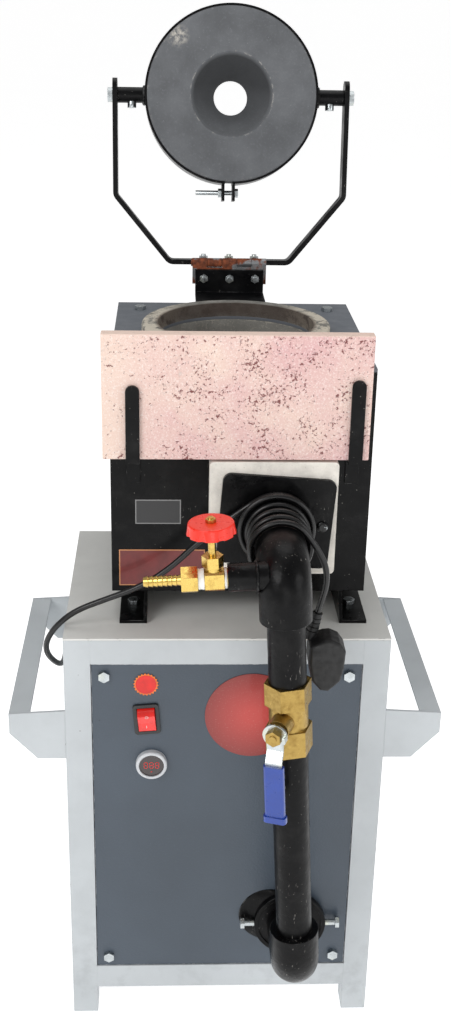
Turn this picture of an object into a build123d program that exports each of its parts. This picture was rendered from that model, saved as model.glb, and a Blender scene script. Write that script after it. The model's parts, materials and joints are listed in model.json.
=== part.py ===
"""Crucible melting furnace on a blower cabinet, with a gas and air burner line and a swing lid.

Millimetres, +X to the right of someone facing the front panel, +Y towards the back, +Z up.
The cabinet's footprint is centred on the frame's X axis and its feet stand on Z = 0.
"""

import os
from math import atan2, cos, degrees, hypot, pi, radians, sin, sqrt, tan

from build123d import *

os.makedirs("parts", exist_ok=True)

# ---------------------------------------------------------------- driving dimensions
TOUCH = 0.3          # gap left between neighbouring faces of different bodies
RUN_GAP = 0.05       # radial clearance of a running fit
CLEAR = 0.25         # radial clearance of a bolt or a pipe in its hole

# cabinet
CABINET_WIDTH = 305.0
CABINET_DEPTH = 250.0
CABINET_HEIGHT = 440.0
POST = 25.0          # outside of the square tube
POST_WALL = 1.5
RAIL_HEIGHT = 27.0
BOTTOM_RAIL_Z = 33.0
SHEET = 2.0          # panels, cabinet top and floor plate
PANEL_GAP = 0.5      # edge gap of a panel in its frame opening
PANEL_RECESS = 1.0   # panel face behind the frame face
LEG_CAP = 2.0
LUG = 23.0           # side of a panel fixing lug
LUG_THICK = 3.0
FLOOR_INSET = 7.0
VENT_LENGTH = 70.0
VENT_WIDTH = 5.0
VENT_PITCH = 14.0
VENT_COUNT = 7

# panel bolts
BOLT_M6 = 3.0        # shank radius
HEX_M6 = 10.0        # across flats
HEX_M6_HEIGHT = 4.0
BOLT_INSET = 12.5    # bolt centre from the edge of the panel opening
PANEL_BOLT_LENGTH = 14.0

# carrying handles
HANDLE_REACH = 53.0  # outer face of the rail from the cabinet side
HANDLE_RAIL = 20.0
HANDLE_RAIL_HEIGHT = 21.0
HANDLE_SHEET = 2.0
HANDLE_TOP_Z = 360.0
HANDLE_RISE = 3.0    # the gusset climbs this much towards the cabinet
GUSSET_BOTTOM_Z = 311.0
GUSSET_FOOT = 27.0   # width of the gusset's lower edge
GUSSET_SHEET = 2.5

# rocker switch
SWITCH_X = -75.3
SWITCH_Z = 354.2
SWITCH_TURN = 4.5    # it sits a little crooked in the panel
SWITCH_WIDTH = 24.8
SWITCH_HEIGHT = 32.3
SWITCH_FLANGE = 2.5
SWITCH_BODY_WIDTH = 20.6
SWITCH_BODY_HEIGHT = 28.4
SWITCH_BODY_DEPTH = 22.0
SWITCH_WALL = 1.5
ROCKER_RADIUS = 12.3
ROCKER_WIDTH = 16.4
ROCKER_TILT = 15.0   # each way from level; it rests with its lower end pressed in
ROCKER_CORNER = 40.0 # angle of the face's edge seen from the pivot
ROCKER_DISH = 1.0    # the face is this much lower in its middle
ROCKER_PIVOT_DEPTH = 1.0    # pivot behind the panel face
ROCKER_BACK = 6.0

# voltmeter
METER_X = -70.9
METER_Z = 304.7
METER_RADIUS = 15.0
METER_PROUD = 6.0
METER_BARREL = 10.8
METER_DEPTH = 24.0
METER_NUT_FLATS = 27.0
METER_NUT = 4.0
METER_WINDOW = 12.0
METER_WINDOW_THICK = 1.0
METER_RECESS = 1.6

# plates and round labels
LABEL_THICK = 0.6
BADGE = (24.8, 357.4, 45.0)         # x, z, radius of the round badge plate
ROUND_LABEL = (-75.9, 391.4, 11.5)
CAPACITY_PLATE = (-64.85, 546.4, 42.3, 24.2)   # x, z, width, height
NAME_PLATE = (-61.2, 489.5, 80.6, 37.0)

# blower inside the cabinet
BLOWER_X = 48.3
BLOWER_Y = 10.0
OUTLET_Z = 123.0     # height of the air outlet through the front panel
DUCT_WIDTH = 52.0
DUCT_HEIGHT = 62.0
SCROLL_RADIUS = 80.0
SCROLL_WALL = 2.0
INLET_RADIUS = 36.0
IMPELLER_RADIUS = 62.0
IMPELLER_INNER = 48.0
IMPELLER_WIDTH = 36.0
IMPELLER_BLADES = 18
IMPELLER_DISC = 2.0
IMPELLER_HUB = 12.0
SHAFT_RADIUS = 4.0
MOTOR_RADIUS = 42.0
MOTOR_LENGTH = 74.0
MOTOR_GAP = 2.0
BRACKET_WIDTH = 60.0
BRACKET_SHEET = 3.0
BRACKET_INSET = 6.0

# air outlet through the front panel and the leaning air line
PIPE_Y = -200.0      # plane of the upright pipe's axis
OUTLET_X = 68.5
LINE_OUTLET_Z = 119.0
BURNER_X = 43.3
BURNER_Z = 545.0
ADAPTOR_REAR_RADIUS = 31.2
ADAPTOR_RING = 36.0
ADAPTOR_RING_FRONT = -135.0
ADAPTOR_RING_DEPTH = 6.0
ADAPTOR_RECESS = 2.0
ADAPTOR_LIP = 4.0
ADAPTOR_WALL = 3.5
SET_SCREW_SHANK = 10.0
PIPE_RADIUS = 16.85
PIPE_BORE = 13.6
ELBOW_RADIUS = 23.0
ELBOW_BORE = 13.0
ELBOW_BEND = 25.5
ELBOW_SOCKET = 17.0  # depth of the pipe in an elbow
LOWER_ELBOW_REACH = 50.0
TOP_ELBOW_REACH = 46.0
BURNER_PIPE_RADIUS = 21.0
BURNER_PIPE_BORE = 17.5
BURNER_PIPE_END = -42.0
GAS_STUB_RADIUS = 12.25
GAS_STUB_END = -48.5
GAS_DROP = 4.0       # gas line below the burner axis

# ball valve, from its lower end along the pipe
VALVE_LOW = 251.0
VALVE_HEX = 25.0
VALVE_WAIST = 22.0
VALVE_TOP_HEX = 22.0
VALVE_FLATS = 37.0
VALVE_WAIST_RADIUS = 17.6
VALVE_SOCKET = 13.0
BALL_RADIUS = 14.0
BALL_BORE = 10.0
STEM_TURN = 22.0     # the stem points this far left of straight forward
STEM_RADIUS = 4.5
STEM_NECK = 10.0
STEM_NECK_END = 32.0
GLAND_NUT_FLATS = 17.0
GLAND_NUT = 5.0
LEVER_AT = 37.6
LEVER_THICK = 2.5
LEVER_WIDTH = 15.0
LEVER_HUB = 11.0
LEVER_STEP_START = 14.0
LEVER_STEP_END = 24.0
LEVER_STEP = 6.0
LEVER_LENGTH = 82.0
STOP_TAB = 6.0
STEM_NUT_FLATS = 13.0
STEM_NUT = 5.5
SLEEVE_START = 27.0
SLEEVE_END = 84.0
SLEEVE_WIDTH = 18.5
SLEEVE_FLARE = 21.0
SLEEVE_FLARE_LENGTH = 6.0
SLEEVE_THICK = 7.0

# gas needle valve on the stub, along the stub's axis
GAS_BLOCK = (-68.0, -51.5)
GAS_BLOCK_SIDE = 17.0
GAS_STEM_X = -60.5
GAS_NECK_RADIUS = 8.4
GAS_NECK_INTO_STUB = 6.0
GAS_BORE = 4.0
UNION_START = -74.0
UNION_LENGTH = 14.0
UNION_FLATS = 21.0
BARB_END = -120.0
BARB_RADIUS = 5.0
BARB_ROOT = 3.9
BARB_RIBS = 8
BARB_BORE = 2.6
BONNET_NECK = 7.0
BONNET_START = 11.6
BONNET_HEIGHT = 10.0
BONNET_FLATS = 16.1
SPINDLE_RADIUS = 3.4
SPINDLE_FOOT = 4.0
WHEEL_TOP = 52.0
WHEEL_HEIGHT = 10.0
WHEEL_RADIUS = 19.35
WHEEL_FLARE = 21.0
WHEEL_RIM = 3.0
WHEEL_PLATE = 3.0
WHEEL_HUB = 7.0
WHEEL_SCALLOPS = 8
WHEEL_NUT_FLATS = 8.0
WHEEL_NUT = 3.0
SPINDLE_TIP = 1.6

# burner block and flange
BLOCK_X = (-18.0, 99.5)
BLOCK_Z = (491.0, 602.0)
BLOCK_FRONT = -92.0
FLANGE_WIDTH = 104.0
FLANGE_HEIGHT = 88.0
FLANGE_THICK = 4.0
FLANGE_CORNER = 8.0
FLANGE_TURN = 4.0
FLANGE_BOLT_X = 42.5
FLANGE_BOLT_Z = -4.7
ROUND_HEAD = 5.5
ROUND_HEAD_HEIGHT = 3.5
FLANGE_BOLT_END = -66.0

# furnace
FURNACE_SIDE = 240.0
FURNACE_X = 11.5
FURNACE_FRONT = -75.0
FURNACE_LOW = 465.0
FURNACE_TOP = 685.0
SHELL = 3.0
TOP_PLATE = 3.0
CHAMBER_X = 9.0      # chamber, hinge and lid share this centre
CHAMBER_RADIUS = 75.0
CHAMBER_Y = 35.0
CHAMBER_FLOOR = 520.0
COLLAR_RADIUS = 90.6
COLLAR_TOP = 698.5
COLLAR_ROUND = 3.0
PLINTH_RADIUS = 40.0
PLINTH_HEIGHT = 25.0
CRUCIBLE_HEIGHT = 112.0
CRUCIBLE_TOP_RADIUS = 52.0
CRUCIBLE_FOOT_RADIUS = 36.0
CRUCIBLE_WALL = 9.0
TOP_BOLT_X = 96.5
TOP_BOLT_Y = (-45.0, 135.0)

# angle runners under the furnace
RUNNER = 26.0
RUNNER_THICK = 3.0
RUNNER_INNER_LEFT = -75.2
RUNNER_INNER_RIGHT = 107.0
RUNNER_FRONT = -94.0
RUNNER_BACK = 118.0
RUNNER_BOLT_OUT = 13.5
RUNNER_BOLT_Y = (-56.0, 95.0)

# refractory board on two hooks in front of the furnace
BOARD_WIDTH = 240.0
BOARD_X = 5.4
BOARD_Z = (604.5, 720.0)
BOARD_FRONT = -93.0
BOARD_THICK = 13.0
HOOK_WIDTH = 12.5
HOOK_THICK = 3.0
HOOK_X = (-87.4, 113.2)
HOOK_TOP = (674.0, 680.0)
HOOK_TAIL = 28.0

# hinge at the back of the furnace
HINGE_Y = 206.5
HINGE_Z = 719.0
HINGE_RADIUS = 4.8
HINGE_LENGTH = 79.0
HINGE_KNUCKLES = 5
KNUCKLE_GAP = 0.4
PIN_RADIUS = 2.4
PIN_HEAD = 4.0
LEAF = 2.0
LEAF_LOW = 697.0
BRACKET_X = 73.0
BRACKET_PLATE = 4.0
BRACKET_FRONT = 150.0
BRACKET_TOP = 713.0
HINGE_BOLT_PITCH = 27.4
HINGE_BOLT_Z = 704.0
BOLT_M5 = 2.5
HEX_M5 = 8.0
HEX_M5_HEIGHT = 3.6
YOKE_LEAN = 7.0      # arms lean back at rest

# yoke: flat bar bent to a wide U
YOKE_BAR = 20.0
YOKE_THICK = 5.0
YOKE_HALF_SPAN = 121.5
YOKE_ARM_START = 69.0
YOKE_FLAT = 64.0
YOKE_BEND = 9.0
YOKE_BEHIND = 15.2   # bar centre behind the hinge axis
YOKE_CENTRE_UP = -0.3
TRUNNION_UP = 171.0
ARM_OVER = 17.1      # arm end above the trunnion
TRUNNION_TUBE = 8.0
TRUNNION_BOLT = 4.0
TRUNNION_HEX = 13.0
TRUNNION_HEX_HEIGHT = 5.3

# lid
LID_RADIUS = 88.0
LID_THICK = 40.0
LID_LEAN = 12.0      # lid leans back this far at rest
LID_CONE = 42.8
LID_FLUE = 17.8
LID_CONE_DEPTH = 34.0
BAND = 2.4
BAND_WIDTH = 37.0
EAR_OFFSET = -2.2
EAR_GAP = 8.0
EAR_LENGTH = 17.0
EAR_THICK = 3.0
EAR_WIDTH = 20.0
CLAMP_BOLT = 2.5
CLAMP_BOLT_LONG = 31.0
CLAMP_BOLT_OUT = 9.0
GRUB_RADIUS = 4.6
GRUB_LENGTH = 7.0
GRUB_IN = 104.0

# mains cord
CORD = 5.6
GLAND_X = -104.0
GLAND_Z = 340.0
GLAND_FLATS = 19.0
GLAND_HEX = 5.0
GLAND_DOME = 10.0
GLAND_THREAD = 7.0
GLAND_SEAT = 5.0
WIND_START_ANGLE = 125.0
WIND_SWEEP = 1890.0  # five turns and a quarter over the burner pipe
WIND_RADII = (30.0, 34.0, 27.0, 26.6, 27.0, 27.4, 27.4)      # at each full turn
WIND_YS = (-101.0, -115.0, -117.5, -131.0, -146.0, -159.0, -163.0)
WIND_SAG = 1.0
LEAD_POINTS = [
    (-104, 134, 340), (-104, 152, 340), (-113, 171, 344), (-132, 183, 350),
    (-151, 174, 357), (-159.5, 152, 364), (-160, 119, 369.5), (-159, 80, 370.5),
    (-159.5, 35, 370), (-159, -10, 369.5), (-158.8, -45, 371), (-163, -68, 382),
    (-171.5, -84, 402), (-171, -95, 421), (-161, -100, 440), (-142, -102, 457.5),
    (-112, -102.5, 470), (-80, -102, 482.5), (-52, -101.5, 502), (-24, -101, 531),
]
LEAD_LAST_RUN = 20.0
TAIL_FIRST_RUN = 11.0
TAIL_POINTS = [(83.2, -162, 531), (84.6, -161.5, 514), (80.9, -160.5, 497), (78, -160, 485)]

# moulded plug hanging on the tail
PLUG_FRONT = -175.0
PLUG_THICK = 25.0
PLUG_OUTLINE = [
    (84.0, 463.5), (90.0, 464.0), (98.0, 460.3), (103.6, 452.1), (102.6, 435.8), (99.9, 422.4),
    (89.5, 412.0), (81.9, 413.1), (73.5, 423.0), (70.5, 439.9), (70.8, 458.3),
]
PLUG_ROUND = 3.0
RELIEF_TOP_RADIUS = 4.6
RELIEF_FOOT_RADIUS = 6.2
RELIEF_LENGTH = 26.0
RELIEF_GROOVES = 4
RELIEF_GROOVE = 0.8
PLUG_PIN_X = 87.5
PLUG_PINS = ((-9.5, 447.0, 2.5, 16.0), (9.5, 447.0, 2.5, 16.0), (0.0, 425.0, 3.5, 19.0))

# ---------------------------------------------------------------- values worked out
HALF_W = CABINET_WIDTH / 2
HALF_D = CABINET_DEPTH / 2
OPEN_X = HALF_W - POST
OPEN_Y = HALF_D - POST
UNDER_TOP = CABINET_HEIGHT - SHEET
OPEN_LOW = BOTTOM_RAIL_Z + RAIL_HEIGHT
OPEN_HIGH = CABINET_HEIGHT - RAIL_HEIGHT
PANEL_FRONT = -HALF_D + PANEL_RECESS
PANEL_BACK = PANEL_FRONT + SHEET
FLOOR_TOP = OPEN_LOW + SHEET
BLOWER_Z = OUTLET_Z - DUCT_HEIGHT / 2 + SCROLL_RADIUS
LEAN = degrees(atan2(OUTLET_X - BURNER_X, BURNER_Z - LINE_OUTLET_Z))
LINE_HEIGHT = hypot(OUTLET_X - BURNER_X, BURNER_Z - LINE_OUTLET_Z)
DISC_FACE = ADAPTOR_RING_FRONT + ADAPTOR_RECESS
VALVE_HIGH = VALVE_LOW + VALVE_HEX + VALVE_WAIST + VALVE_TOP_HEX
VALVE_MID = VALVE_LOW + VALVE_HEX + VALVE_WAIST / 2
FURNACE_BACK = FURNACE_FRONT + FURNACE_SIDE
HINGE_X = CHAMBER_X
FURNACE_Y = FURNACE_FRONT + FURNACE_SIDE / 2
PLATE_LOW = FURNACE_TOP - TOP_PLATE
FLANGE_FRONT = BLOCK_FRONT - FLANGE_THICK
CRUCIBLE_FOOT = CHAMBER_FLOOR + PLINTH_HEIGHT + TOUCH

LINE = Location((OUTLET_X, PIPE_Y, LINE_OUTLET_Z), (0, -LEAN, 0))
GAS = LINE * Location((0, 0, LINE_HEIGHT - GAS_DROP))
VALVE = LINE * Location((0, 0, VALVE_MID), (0, 0, -90 - STEM_TURN))
YOKE = Location((HINGE_X, HINGE_Y, HINGE_Z), (-YOKE_LEAN, 0, 0))
TRUNNION = (YOKE * Location((0, YOKE_BEHIND, TRUNNION_UP))).position
LID = Location(tuple(TRUNNION), (-LID_LEAN, 0, 0))
SWITCH = Location((SWITCH_X, PANEL_FRONT, SWITCH_Z), (0, -SWITCH_TURN, 0))

FORWARD, BACKWARD = (0, -1, 0), (0, 1, 0)
UP, DOWN = (0, 0, 1), (0, 0, -1)
RIGHT, LEFT = (1, 0, 0), (-1, 0, 0)


# ---------------------------------------------------------------- shape helpers
def slab(x, y, z):
    """Rectangular block between three pairs of planes."""
    size = [high - low for low, high in (x, y, z)]
    centre = [(high + low) / 2 for low, high in (x, y, z)]
    return Pos(*centre) * Box(*size)


def rod(start, along, radius, length):
    """Round bar from a point in a direction."""
    return extrude(Plane(origin=start, z_dir=along) * Circle(radius), amount=length)


def pipe(start, along, radius, bore, length):
    """Round tube from a point in a direction."""
    section = Circle(radius) - Circle(bore)
    return extrude(Plane(origin=start, z_dir=along) * section, amount=length)


def hex_bar(start, along, flats, length, across=None):
    """Hexagonal bar; across is the direction of one corner."""
    plane = Plane(origin=start, x_dir=across, z_dir=along)
    return extrude(plane * RegularPolygon(flats / 2, 6, major_radius=False), amount=length)


def cone(start, along, radius, end_radius, length):
    """Round bar that tapers from one radius to another."""
    near = Plane(origin=start, z_dir=along) * Circle(radius)
    far_point = tuple(s + a * length for s, a in zip(start, along))
    return loft([near, Plane(origin=far_point, z_dir=along) * Circle(end_radius)])


def hex_bolt(seat, into, shank, length, flats, head):
    """Hex bolt whose head stands on its seat and whose shank goes in."""
    out = tuple(-c for c in into)
    return hex_bar(seat, out, flats, head) + rod(seat, into, shank, length)


def bent_tube(points, radii, radius):
    """Round bar swept along straight runs joined by arcs."""
    path = FilletPolyline(*points, radius=radii)
    return sweep(Plane(origin=path @ 0, z_dir=path % 0) * Circle(radius), path=path)


def save(node, shape):
    """Write one sub-part: a solid, or separate solids of one kind."""
    solids = shape if isinstance(shape, list) else [shape]
    found = [solid for item in solids for solid in item.solids()]
    shape = found[0] if len(found) == 1 else Compound(children=found)
    shape.label = node
    export_step(shape, f"parts/{node}.step")


# ---------------------------------------------------------------- cabinet
def square_tube(x, y, z, axis):
    """Hollow square tube along one axis, open at both ends."""
    spans = [x, y, z]
    inner = [(low + POST_WALL, high - POST_WALL) for low, high in spans]
    inner[axis] = spans[axis]
    return slab(*spans) - slab(*inner)


def cabinet_frame():
    pieces = []
    rails = ((BOTTOM_RAIL_Z, OPEN_LOW), (OPEN_HIGH, UNDER_TOP))
    for sx in (-1, 1):
        x = sorted((sx * OPEN_X, sx * HALF_W))
        for sy in (-1, 1):
            y = sorted((sy * OPEN_Y, sy * HALF_D))
            pieces.append(square_tube(x, y, (LEG_CAP, UNDER_TOP), 2))
            cap = slab(x, y, (0, LEG_CAP))
            pieces.append(fillet(cap.edges().group_by(Axis.Z)[0], LEG_CAP / 2))
        for z in rails:
            pieces.append(square_tube(x, (-OPEN_Y, OPEN_Y), z, 1))
    for sy in (-1, 1):
        y = sorted((sy * OPEN_Y, sy * HALF_D))
        for z in rails:
            pieces.append(square_tube((-OPEN_X, OPEN_X), y, z, 0))
        back = sy * (HALF_D - PANEL_RECESS - SHEET)
        lug_y = sorted((back, back - sy * LUG_THICK))
        for sx in (-1, 1):
            lug_x = sorted((sx * OPEN_X, sx * (OPEN_X - LUG)))
            bolt_x = sx * (OPEN_X - BOLT_INSET)
            for lug_z, bolt_z in (
                ((OPEN_LOW, OPEN_LOW + LUG), OPEN_LOW + BOLT_INSET),
                ((OPEN_HIGH - LUG, OPEN_HIGH), OPEN_HIGH - BOLT_INSET),
            ):
                hole = rod((bolt_x, back + sy, bolt_z), (0, -sy, 0), BOLT_M6 + CLEAR, 2 * LUG_THICK)
                pieces.append(slab(lug_x, lug_y, lug_z) - hole)
    return pieces


def panel_bolt_places():
    return [
        (sx * (OPEN_X - BOLT_INSET), z)
        for sx in (-1, 1)
        for z in (OPEN_LOW + BOLT_INSET, OPEN_HIGH - BOLT_INSET)
    ]


def blank_panel(side):
    """Front (side -1) or rear (side 1) panel with its bolt holes."""
    face = side * (HALF_D - PANEL_RECESS)
    y = sorted((face, face - side * SHEET))
    x = OPEN_X - PANEL_GAP
    panel = slab((-x, x), y, (OPEN_LOW + PANEL_GAP, OPEN_HIGH - PANEL_GAP))
    for bx, bz in panel_bolt_places():
        panel -= rod((bx, face + side, bz), (0, -side, 0), BOLT_M6 + CLEAR, SHEET + 2)
    return panel


def cut_vents(panel, centre_z, plane_at):
    """A column of level slots through a sheet."""
    for k in range(VENT_COUNT):
        z = centre_z + (k - (VENT_COUNT - 1) / 2) * VENT_PITCH
        plane = plane_at(z)
        panel -= extrude(plane * SlotOverall(VENT_LENGTH, VENT_WIDTH), amount=SHEET, both=True)
    return panel


def cabinet_panels():
    rear = blank_panel(1)
    rear -= rod((GLAND_X, HALF_D, GLAND_Z), FORWARD, GLAND_THREAD + CLEAR, 2 * SHEET)
    rear = cut_vents(
        rear, BLOWER_Z, lambda z: Plane(origin=(0, HALF_D - PANEL_RECESS, z), x_dir=RIGHT, z_dir=BACKWARD)
    )
    span = ((-OPEN_Y + PANEL_GAP, OPEN_Y - PANEL_GAP), (OPEN_LOW + PANEL_GAP, OPEN_HIGH - PANEL_GAP))
    left = slab((-HALF_W, -HALF_W + SHEET), *span)
    right = slab((HALF_W - SHEET, HALF_W), *span)
    right = cut_vents(
        right, BLOWER_Z, lambda z: Plane(origin=(HALF_W, BLOWER_Y, z), x_dir=BACKWARD, z_dir=RIGHT)
    )
    return [rear, left, right]


def front_panel():
    panel = blank_panel(-1)
    panel -= SWITCH * slab(
        (-SWITCH_BODY_WIDTH / 2 - CLEAR, SWITCH_BODY_WIDTH / 2 + CLEAR),
        (-1, 2 * SHEET),
        (-SWITCH_BODY_HEIGHT / 2 - CLEAR, SWITCH_BODY_HEIGHT / 2 + CLEAR),
    )
    panel -= rod((METER_X, -HALF_D, METER_Z), BACKWARD, METER_BARREL + CLEAR, 2 * SHEET)
    panel -= rod((BLOWER_X, -HALF_D, OUTLET_Z), BACKWARD, ADAPTOR_REAR_RADIUS - ADAPTOR_WALL, 2 * SHEET)
    return panel


def panel_bolts():
    bolts = []
    for side in (-1, 1):
        seat = side * (HALF_D - PANEL_RECESS)
        for x, z in panel_bolt_places():
            bolts.append(
                hex_bolt((x, seat, z), (0, -side, 0), BOLT_M6, PANEL_BOLT_LENGTH, HEX_M6, HEX_M6_HEIGHT)
            )
    return bolts


def cabinet_top():
    top = slab((-HALF_W, HALF_W), (-HALF_D, HALF_D), (UNDER_TOP, CABINET_HEIGHT))
    for x, y in runner_bolt_places():
        top -= rod((x, y, UNDER_TOP - 1), UP, BOLT_M6 + CLEAR, SHEET + 2)
    return top


def cabinet_floor():
    y = HALF_D - FLOOR_INSET
    return slab((-OPEN_X, OPEN_X), (-y, y), (OPEN_LOW, FLOOR_TOP))


def carrying_handles():
    pieces = []
    outer = HALF_W + HANDLE_REACH
    for side in (-1, 1):
        ends = (-HALF_D, HALF_D - HANDLE_SHEET - 1)
        y = (ends[0] + GUSSET_SHEET, ends[1] - GUSSET_SHEET)
        x = sorted((side * outer, side * (outer - HANDLE_RAIL)))
        rail = slab(x, y, (HANDLE_TOP_Z - HANDLE_RAIL_HEIGHT, HANDLE_TOP_Z))
        inside = sorted((side * (outer - HANDLE_SHEET), side * (outer - HANDLE_RAIL)))
        rail -= slab(inside, y, (HANDLE_TOP_Z - HANDLE_RAIL_HEIGHT, HANDLE_TOP_Z - HANDLE_SHEET))
        pieces.append(rail)
        outline = [
            (side * outer, HANDLE_TOP_Z),
            (side * HALF_W, HANDLE_TOP_Z + HANDLE_RISE),
            (side * HALF_W, GUSSET_BOTTOM_Z),
            (side * (HALF_W + GUSSET_FOOT), GUSSET_BOTTOM_Z),
            (side * outer, HANDLE_TOP_Z - HANDLE_RAIL_HEIGHT),
        ]
        for front in (ends[0], ends[1] - GUSSET_SHEET):
            plane = Plane(origin=(0, front, 0), x_dir=RIGHT, z_dir=FORWARD)
            face = plane * make_face(Polyline(*outline, close=True))
            pieces.append(extrude(face, amount=-GUSSET_SHEET))
    return pieces


# ---------------------------------------------------------------- panel fittings
def switch_body():
    half_w, half_h = SWITCH_BODY_WIDTH / 2, SWITCH_BODY_HEIGHT / 2
    open_w, open_h = half_w - SWITCH_WALL, half_h - SWITCH_WALL
    flange = slab(
        (-SWITCH_WIDTH / 2, SWITCH_WIDTH / 2), (-SWITCH_FLANGE, 0), (-SWITCH_HEIGHT / 2, SWITCH_HEIGHT / 2)
    )
    flange = fillet(flange.edges().filter_by(Axis.Y), 2 * SWITCH_WALL)
    flange = fillet(flange.faces().sort_by(Axis.Y)[0].edges(), SWITCH_WALL / 2)
    body = flange + slab((-half_w, half_w), (0, SWITCH_BODY_DEPTH), (-half_h, half_h))
    body -= slab(
        (-open_w, open_w), (-2 * SWITCH_FLANGE, SWITCH_BODY_DEPTH - SWITCH_WALL), (-open_h, open_h)
    )
    return SWITCH * body


def switch_rocker():
    pivot = ROCKER_PIVOT_DEPTH
    edge_z = ROCKER_RADIUS * cos(radians(ROCKER_CORNER))
    edge_y = pivot - ROCKER_RADIUS * sin(radians(ROCKER_CORNER))
    drum = rod((-ROCKER_WIDTH / 2, pivot, 0), RIGHT, ROCKER_RADIUS, ROCKER_WIDTH)
    crease = edge_y + ROCKER_DISH
    reach = 2 * ROCKER_RADIUS
    slope = reach * ROCKER_DISH / edge_z
    plane = Plane(origin=(-ROCKER_WIDTH, 0, 0), x_dir=BACKWARD, z_dir=RIGHT)
    keep = make_face(
        Polyline(
            (crease - slope, -reach), (crease, 0), (crease - slope, reach),
            (pivot + ROCKER_BACK, reach), (pivot + ROCKER_BACK, -reach), close=True,
        )
    )
    rocker = drum & extrude(plane * keep, amount=2 * ROCKER_WIDTH)
    tilted = Location((0, pivot, 0)) * Location((0, 0, 0), (ROCKER_TILT, 0, 0)) * Location((0, -pivot, 0))
    return SWITCH * (tilted * rocker)


def meter_bezel():
    front = PANEL_FRONT - METER_PROUD
    bezel = rod((METER_X, PANEL_FRONT, METER_Z), FORWARD, METER_RADIUS, METER_PROUD)
    bezel = fillet(bezel.edges().sort_by(Axis.Y)[0], METER_RECESS)
    bezel += rod((METER_X, PANEL_FRONT, METER_Z), BACKWARD, METER_BARREL, METER_DEPTH)
    bezel -= rod((METER_X, front, METER_Z), BACKWARD, METER_WINDOW, METER_RECESS + METER_WINDOW_THICK)
    nut = hex_bar((METER_X, PANEL_BACK, METER_Z), BACKWARD, METER_NUT_FLATS, METER_NUT, RIGHT)
    nut -= rod((METER_X, PANEL_BACK, METER_Z), BACKWARD, METER_BARREL + RUN_GAP, METER_NUT)
    return [bezel, nut]


def meter_window():
    front = PANEL_FRONT - METER_PROUD + METER_RECESS
    return rod((METER_X, front, METER_Z), BACKWARD, METER_WINDOW - RUN_GAP, METER_WINDOW_THICK)


def panel_labels():
    return [
        rod((x, PANEL_FRONT, z), FORWARD, radius, LABEL_THICK) for x, z, radius in (BADGE, ROUND_LABEL)
    ]


def furnace_labels():
    plates = []
    for x, z, width, height in (CAPACITY_PLATE, NAME_PLATE):
        plates.append(
            slab(
                (x - width / 2, x + width / 2),
                (FURNACE_FRONT - LABEL_THICK, FURNACE_FRONT),
                (z - height / 2, z + height / 2),
            )
        )
    return plates


def cord_gland():
    face = HALF_D - PANEL_RECESS
    start = (GLAND_X, face, GLAND_Z)
    dome_at = (GLAND_X, face + GLAND_HEX, GLAND_Z)
    body = hex_bar(start, BACKWARD, GLAND_FLATS, GLAND_HEX, RIGHT)
    body += cone(dome_at, BACKWARD, GLAND_FLATS / 2 - 1, CORD, GLAND_DOME)
    body += rod(start, FORWARD, GLAND_THREAD, GLAND_DOME)
    mouth = (GLAND_X, face + GLAND_HEX + GLAND_DOME, GLAND_Z)
    body -= rod(mouth, FORWARD, CORD / 2 + CLEAR, GLAND_SEAT)
    nut_at = (GLAND_X, face - SHEET, GLAND_Z)
    nut = hex_bar(nut_at, FORWARD, GLAND_FLATS, GLAND_HEX, RIGHT)
    nut -= rod(nut_at, FORWARD, GLAND_THREAD + RUN_GAP, GLAND_HEX)
    return [body, nut]


# ---------------------------------------------------------------- blower
def blower_housing():
    centre = (BLOWER_Y, BLOWER_Z)
    low_x = BLOWER_X - DUCT_WIDTH / 2
    duct_z = (OUTLET_Z - DUCT_HEIGHT / 2, OUTLET_Z + DUCT_HEIGHT / 2)

    def volume(shrink, front):
        drum = rod((low_x + shrink, *centre), RIGHT, SCROLL_RADIUS - shrink, DUCT_WIDTH - 2 * shrink)
        duct = slab(
            (low_x + shrink, low_x + DUCT_WIDTH - shrink),
            (front, BLOWER_Y),
            (duct_z[0] + shrink, duct_z[1] - shrink),
        )
        return drum + duct

    housing = volume(0, PANEL_BACK)
    foot_y = (BLOWER_Y - BRACKET_WIDTH / 4, BLOWER_Y + BRACKET_WIDTH / 4)
    housing += slab((low_x, low_x + DUCT_WIDTH), foot_y, (FLOOR_TOP, duct_z[0] + SCROLL_RADIUS / 8))
    housing -= volume(SCROLL_WALL, PANEL_BACK - 1)
    housing -= rod((BLOWER_X, *centre), RIGHT, INLET_RADIUS, DUCT_WIDTH)
    housing -= rod((BLOWER_X, *centre), LEFT, IMPELLER_HUB, DUCT_WIDTH)
    return housing


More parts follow.
